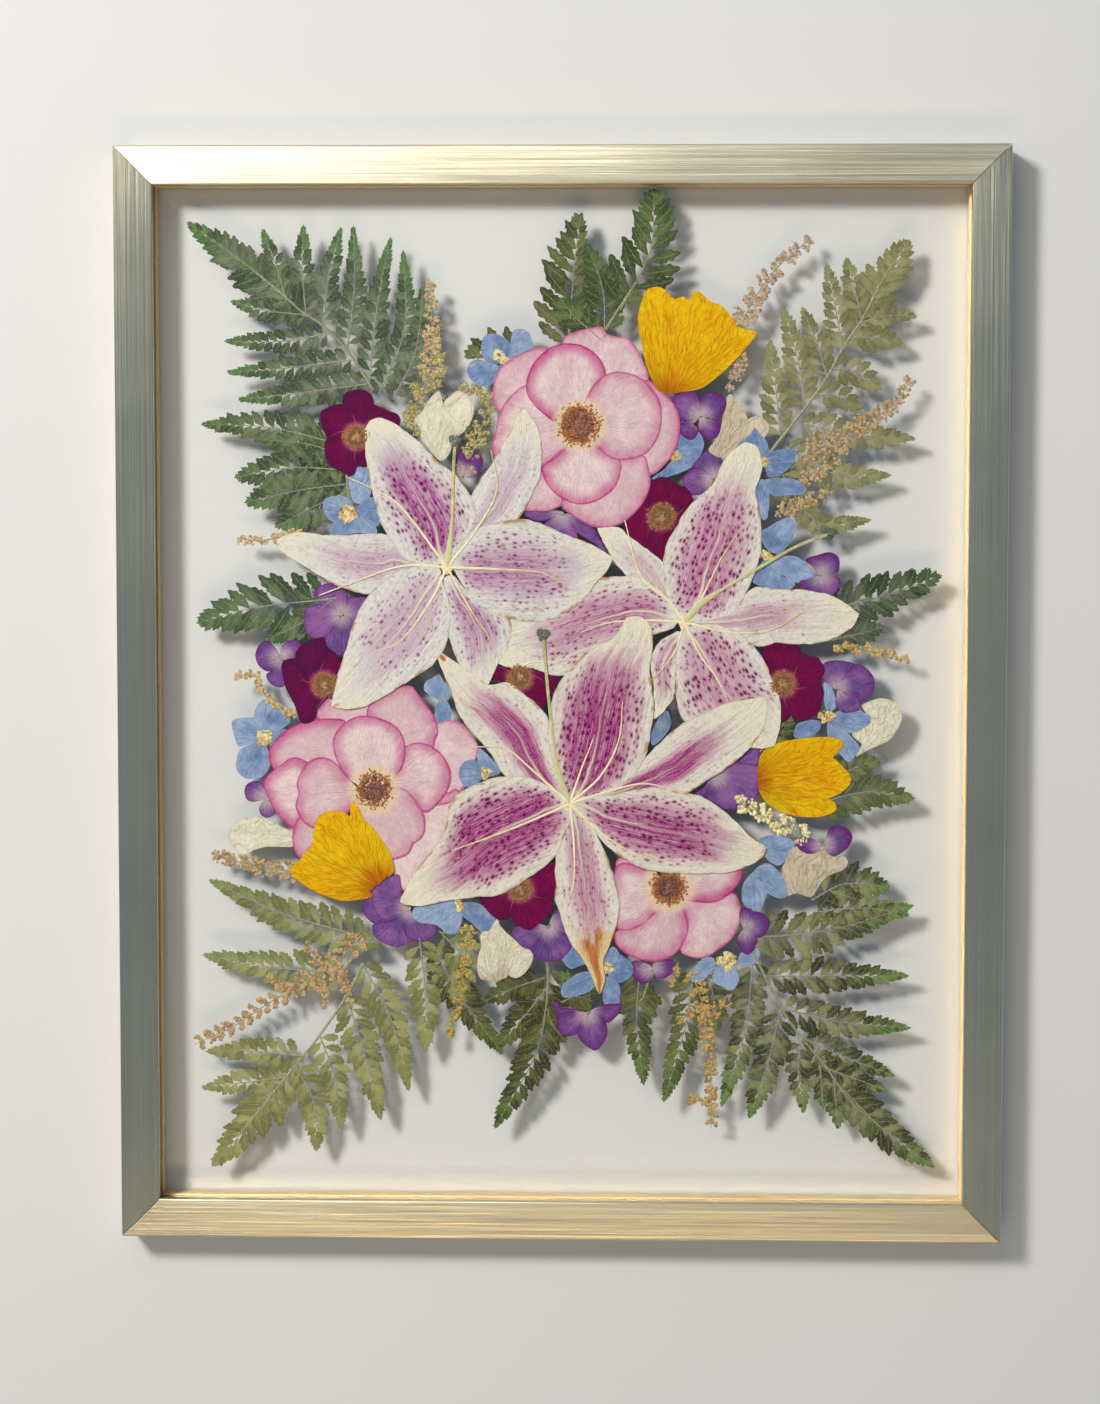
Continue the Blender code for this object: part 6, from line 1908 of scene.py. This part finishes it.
def tepal_finish(name, flush, wash, margin):
    """A dried lily tepal: cream margin, lilac wash, magenta streaks, freckles, ribs and burns.

    The streaks are noise drawn out along the tepal, strongest in a band on either side of the
    pale midrib; the freckles are the middles of some cells of a Voronoi pattern 2.4 mm wide and
    3.4 mm long, thinning out towards the margin and the tip.
    """
    finish = Finish(name)
    keys = ("along", "across", "offset", "reach", "tone", "burnt", "flushed", "freckled")
    along, across, offset, reach, tone, burnt, flushed, freckled = map(finish.measure, keys)
    aside = across.math("ABSOLUTE")

    def lane(fine, long, seed):
        where = {0: offset * fine, 1: reach * long, 2: tone * seed}
        return finish.add("ShaderNodeCombineXYZ", inputs=where)

    hair = finish.noise(lane(2.6, 0.10, 50), 1.0, 3.0, 0.7)
    streak = finish.noise(lane(0.8, 0.045, 90), 1.0, 4.0, 0.7, 0.4)
    broad = finish.noise(lane(0.22, 0.03, 70), 1.0, 3.0, 0.6, 0.4)
    wrinkle = finish.noise(finish.place(), 420.0, 5.0, 0.7, 0.6)
    fine = finish.noise(finish.place(), 1500.0, 3.0, 0.65)
    cloud = finish.noise(finish.place(), 70.0, 3.0, 0.6)
    # Painted shade: the margin darkens in the hollows of the wrinkles and streaks, which the bump
    # lowers.
    furrow_shade = wrinkle.step(0.5, 0.3) * 0.6 + streak.step(0.5, 0.3) * 0.45
    colour = finish.mix(furrow_shade, margin, toned(margin, 0.5))
    colour = finish.mix(hair.step(0.52, 0.72) * 0.5, colour, toned(margin, 1.15))
    ragged = (broad - 0.5) * 0.7 + (streak - 0.5) * 0.5
    length = along + ragged * 0.45
    narrow = (1 - freckled) * 0.32
    inside = (aside + ragged * 0.7 + narrow).step(0.92, 0.5)
    inside = inside * (length + narrow * 0.4).step(0.92, 0.62) * along.step(0.02, 0.14)
    washed = inside * (0.4 + hair.step(0.35, 0.65) * 0.35) * (0.6 + flushed * 0.4)
    colour = finish.mix(washed, colour, wash)
    band = (aside + ragged * 0.8 + narrow).step(0.8, 0.25)
    band = band * (length + narrow * 0.4).step(0.86, 0.5) * along.step(0.04, 0.2)
    band = band * (0.4 + streak.step(0.42, 0.56) * 0.75) * flushed
    colour = finish.mix(band, colour, flush)
    flat = {"voronoi_dimensions": "2D"}
    net = finish.add("ShaderNodeTexVoronoi", {"feature": "DISTANCE_TO_EDGE", **flat},
                     {"Vector": finish.place(), "Scale": 800.0})
    colour = finish.mix(net.step(0.12, 0.0) * inside * 0.3, colour, margin)
    colour = finish.mix(hair.step(0.46, 0.34) * inside * 0.4, colour, margin)
    colour = finish.mix(hair.step(0.56, 0.68) * band * 0.55, colour, toned(flush, 0.4))
    cells = {"Vector": lane(0.42, 0.29, 30), "Scale": 1.0, "Randomness": 1.0}
    freckle = finish.add("ShaderNodeTexVoronoi", flat, cells)
    pick = finish.add("ShaderNodeTexVoronoi", flat, cells, output=1)
    size = 0.11 + freckled * 0.09 + (cloud - 0.5) * 0.4 + (pick - 0.5) * 0.32
    where = (aside + (broad - 0.5) * 0.3).step(0.9, 0.7) * (along + ragged * 0.3).step(0.76, 0.6)
    where = where * offset.math("ABSOLUTE").step(0.5, 1.6) * reach.step(3, 8)
    where = where * (freckled * 1.1 - pick).step(-0.1, 0.1)
    spot = (size + (hair - 0.5) * 0.25 - freckle).step(-0.02, 0.1) * where
    halo = (size + 0.2 - freckle).step(-0.1, 0.2) * where * 0.5
    colour = finish.mix(halo, colour, flush)
    colour = finish.mix(spot * 0.9, colour, seen(86, 10, 66))
    ripe = (along + ragged * 0.3 + aside * 0.12).step(0.72, 1.05) * 0.6
    colour = finish.mix(ripe, colour, seen(240, 230, 196))
    rib = (offset.math("ABSOLUTE") + reach * 0.012).step(1.3, 0.4) * along.step(0.75, 0.2)
    colour = finish.mix(rib * (0.5 + hair * 0.5), colour, seen(230, 220, 194))
    crack = (streak - 0.5).math("ABSOLUTE").step(0.012, 0.0) * cloud.step(0.45, 0.6)
    colour = finish.mix(crack * 0.35, colour, seen(120, 80, 80))
    char = (along - burnt + ragged * 0.35 + (cloud - 0.5) * 0.3).step(0.0, 0.05)
    baked = (aside + ragged * 0.8 + (wrinkle - 0.5) * 0.5).step(0.75, 0.25)
    toast = finish.mix(baked, seen(226, 196, 140), seen(196, 112, 18))
    split = (streak - 0.5).math("ABSOLUTE").step(0.035, 0.0) * baked
    toast = finish.mix(split, toast, seen(92, 42, 8))
    colour = finish.mix(char * 0.92, colour, toast)
    singe = (aside + (wrinkle - 0.5) * 0.12).step(0.91, 0.96) * cloud.step(0.52, 0.6)
    colour = finish.mix(singe * 0.75, colour, seen(180, 118, 52))
    edge = aside.step(0.95, 1.0) * 0.35
    colour = finish.mix(edge, colour, seen(160, 130, 96))
    height = streak * 0.8 + hair * 0.35 + fine * 0.2 + wrinkle * 0.9 + rib * 0.6
    finish.set(Base_Color=colour, Roughness=0.5 + fine * 0.15, Specular_IOR_Level=0.03,
               Normal=finish.bump(height, 0.0008))
    return finish


def thread_finish(name, pale, dark):
    """A dried filament or style: pale with darker lengths, grooved."""
    finish = Finish(name)
    along, tone = finish.measure("along"), finish.measure("tone")
    grain = finish.noise(finish.place(), 260.0, 3.0, 0.6)
    fine = finish.noise(finish.place(), 2200.0, 2.0)
    shade = (grain * 0.8 + along * 0.35 + (tone - 0.5) * 0.2).step(0.45, 0.95)
    finish.set(Base_Color=finish.mix(shade, pale, dark), Roughness=0.5,
               Normal=finish.bump(fine, 0.0002))
    return finish


def add_lilies():
    """Add the three lilies."""
    random = np.random.default_rng(66)
    filament = thread_finish("lily_filament", seen(232, 222, 180), seen(200, 164, 100))
    style = thread_finish("lily_style", seen(196, 192, 134), seen(134, 132, 76))
    stigma = thread_finish("lily_stigma", seen(52, 62, 54), seen(84, 88, 62))
    for name, (layer, heart, edges, filaments, pistil, looks) in LILIES.items():
        level = level_of(layer)
        colours = (seen(*part) for part in LILY_COLOURS[name])
        tepals = tepal_shapes(edges, level, random, looks)
        threads = []
        for path in filaments:
            points = curve_through(placed([*heart, *path]), FILAMENT_STATIONS)
            widths = FILAMENT_HALF_WIDTH * np.linspace(1.15, 0.45, FILAMENT_STATIONS)
            tone = random.uniform(0, 1)
            threads.append(stem_shape(points, widths, level + FILAMENT_LIFT, 0.2, 8, tone))
        points = curve_through(placed([*heart, *pistil]), PISTIL_STATIONS)
        shares = np.linspace(0, 1, PISTIL_STATIONS)
        widths = PISTIL_HALF_WIDTH * np.interp(shares, *PISTIL_SWELL)
        column = stem_shape(points, widths, level + PISTIL_LIFT, 0.14, 10)
        lobes = round_about(points[-1], STIGMA_TURNS, STIGMA_REACH)
        lobes = np.c_[lobes, np.full(3, level + STIGMA_LIFT)]
        half = np.full(3, 0.5)
        top = bead_shapes(lobes, np.full(3, STIGMA_RADIUS), 0.07, half, half, around=8)
        lumps = np.c_[points[0] + HEART_LUMPS, np.full(3, level + HEART_LIFT)]
        heap = bead_shapes(lumps, np.full(3, HEART_RADIUS), 0.05, 1.2 * half, half, around=8)
        threads.append(heap)
        add_piece(f"{name}_flower", "lily", [
            (tepals, tepal_finish(f"{name}_tepal", *colours)),
            (joined(threads), filament), (column, style), (top, stigma),
        ], name)


add_lilies()
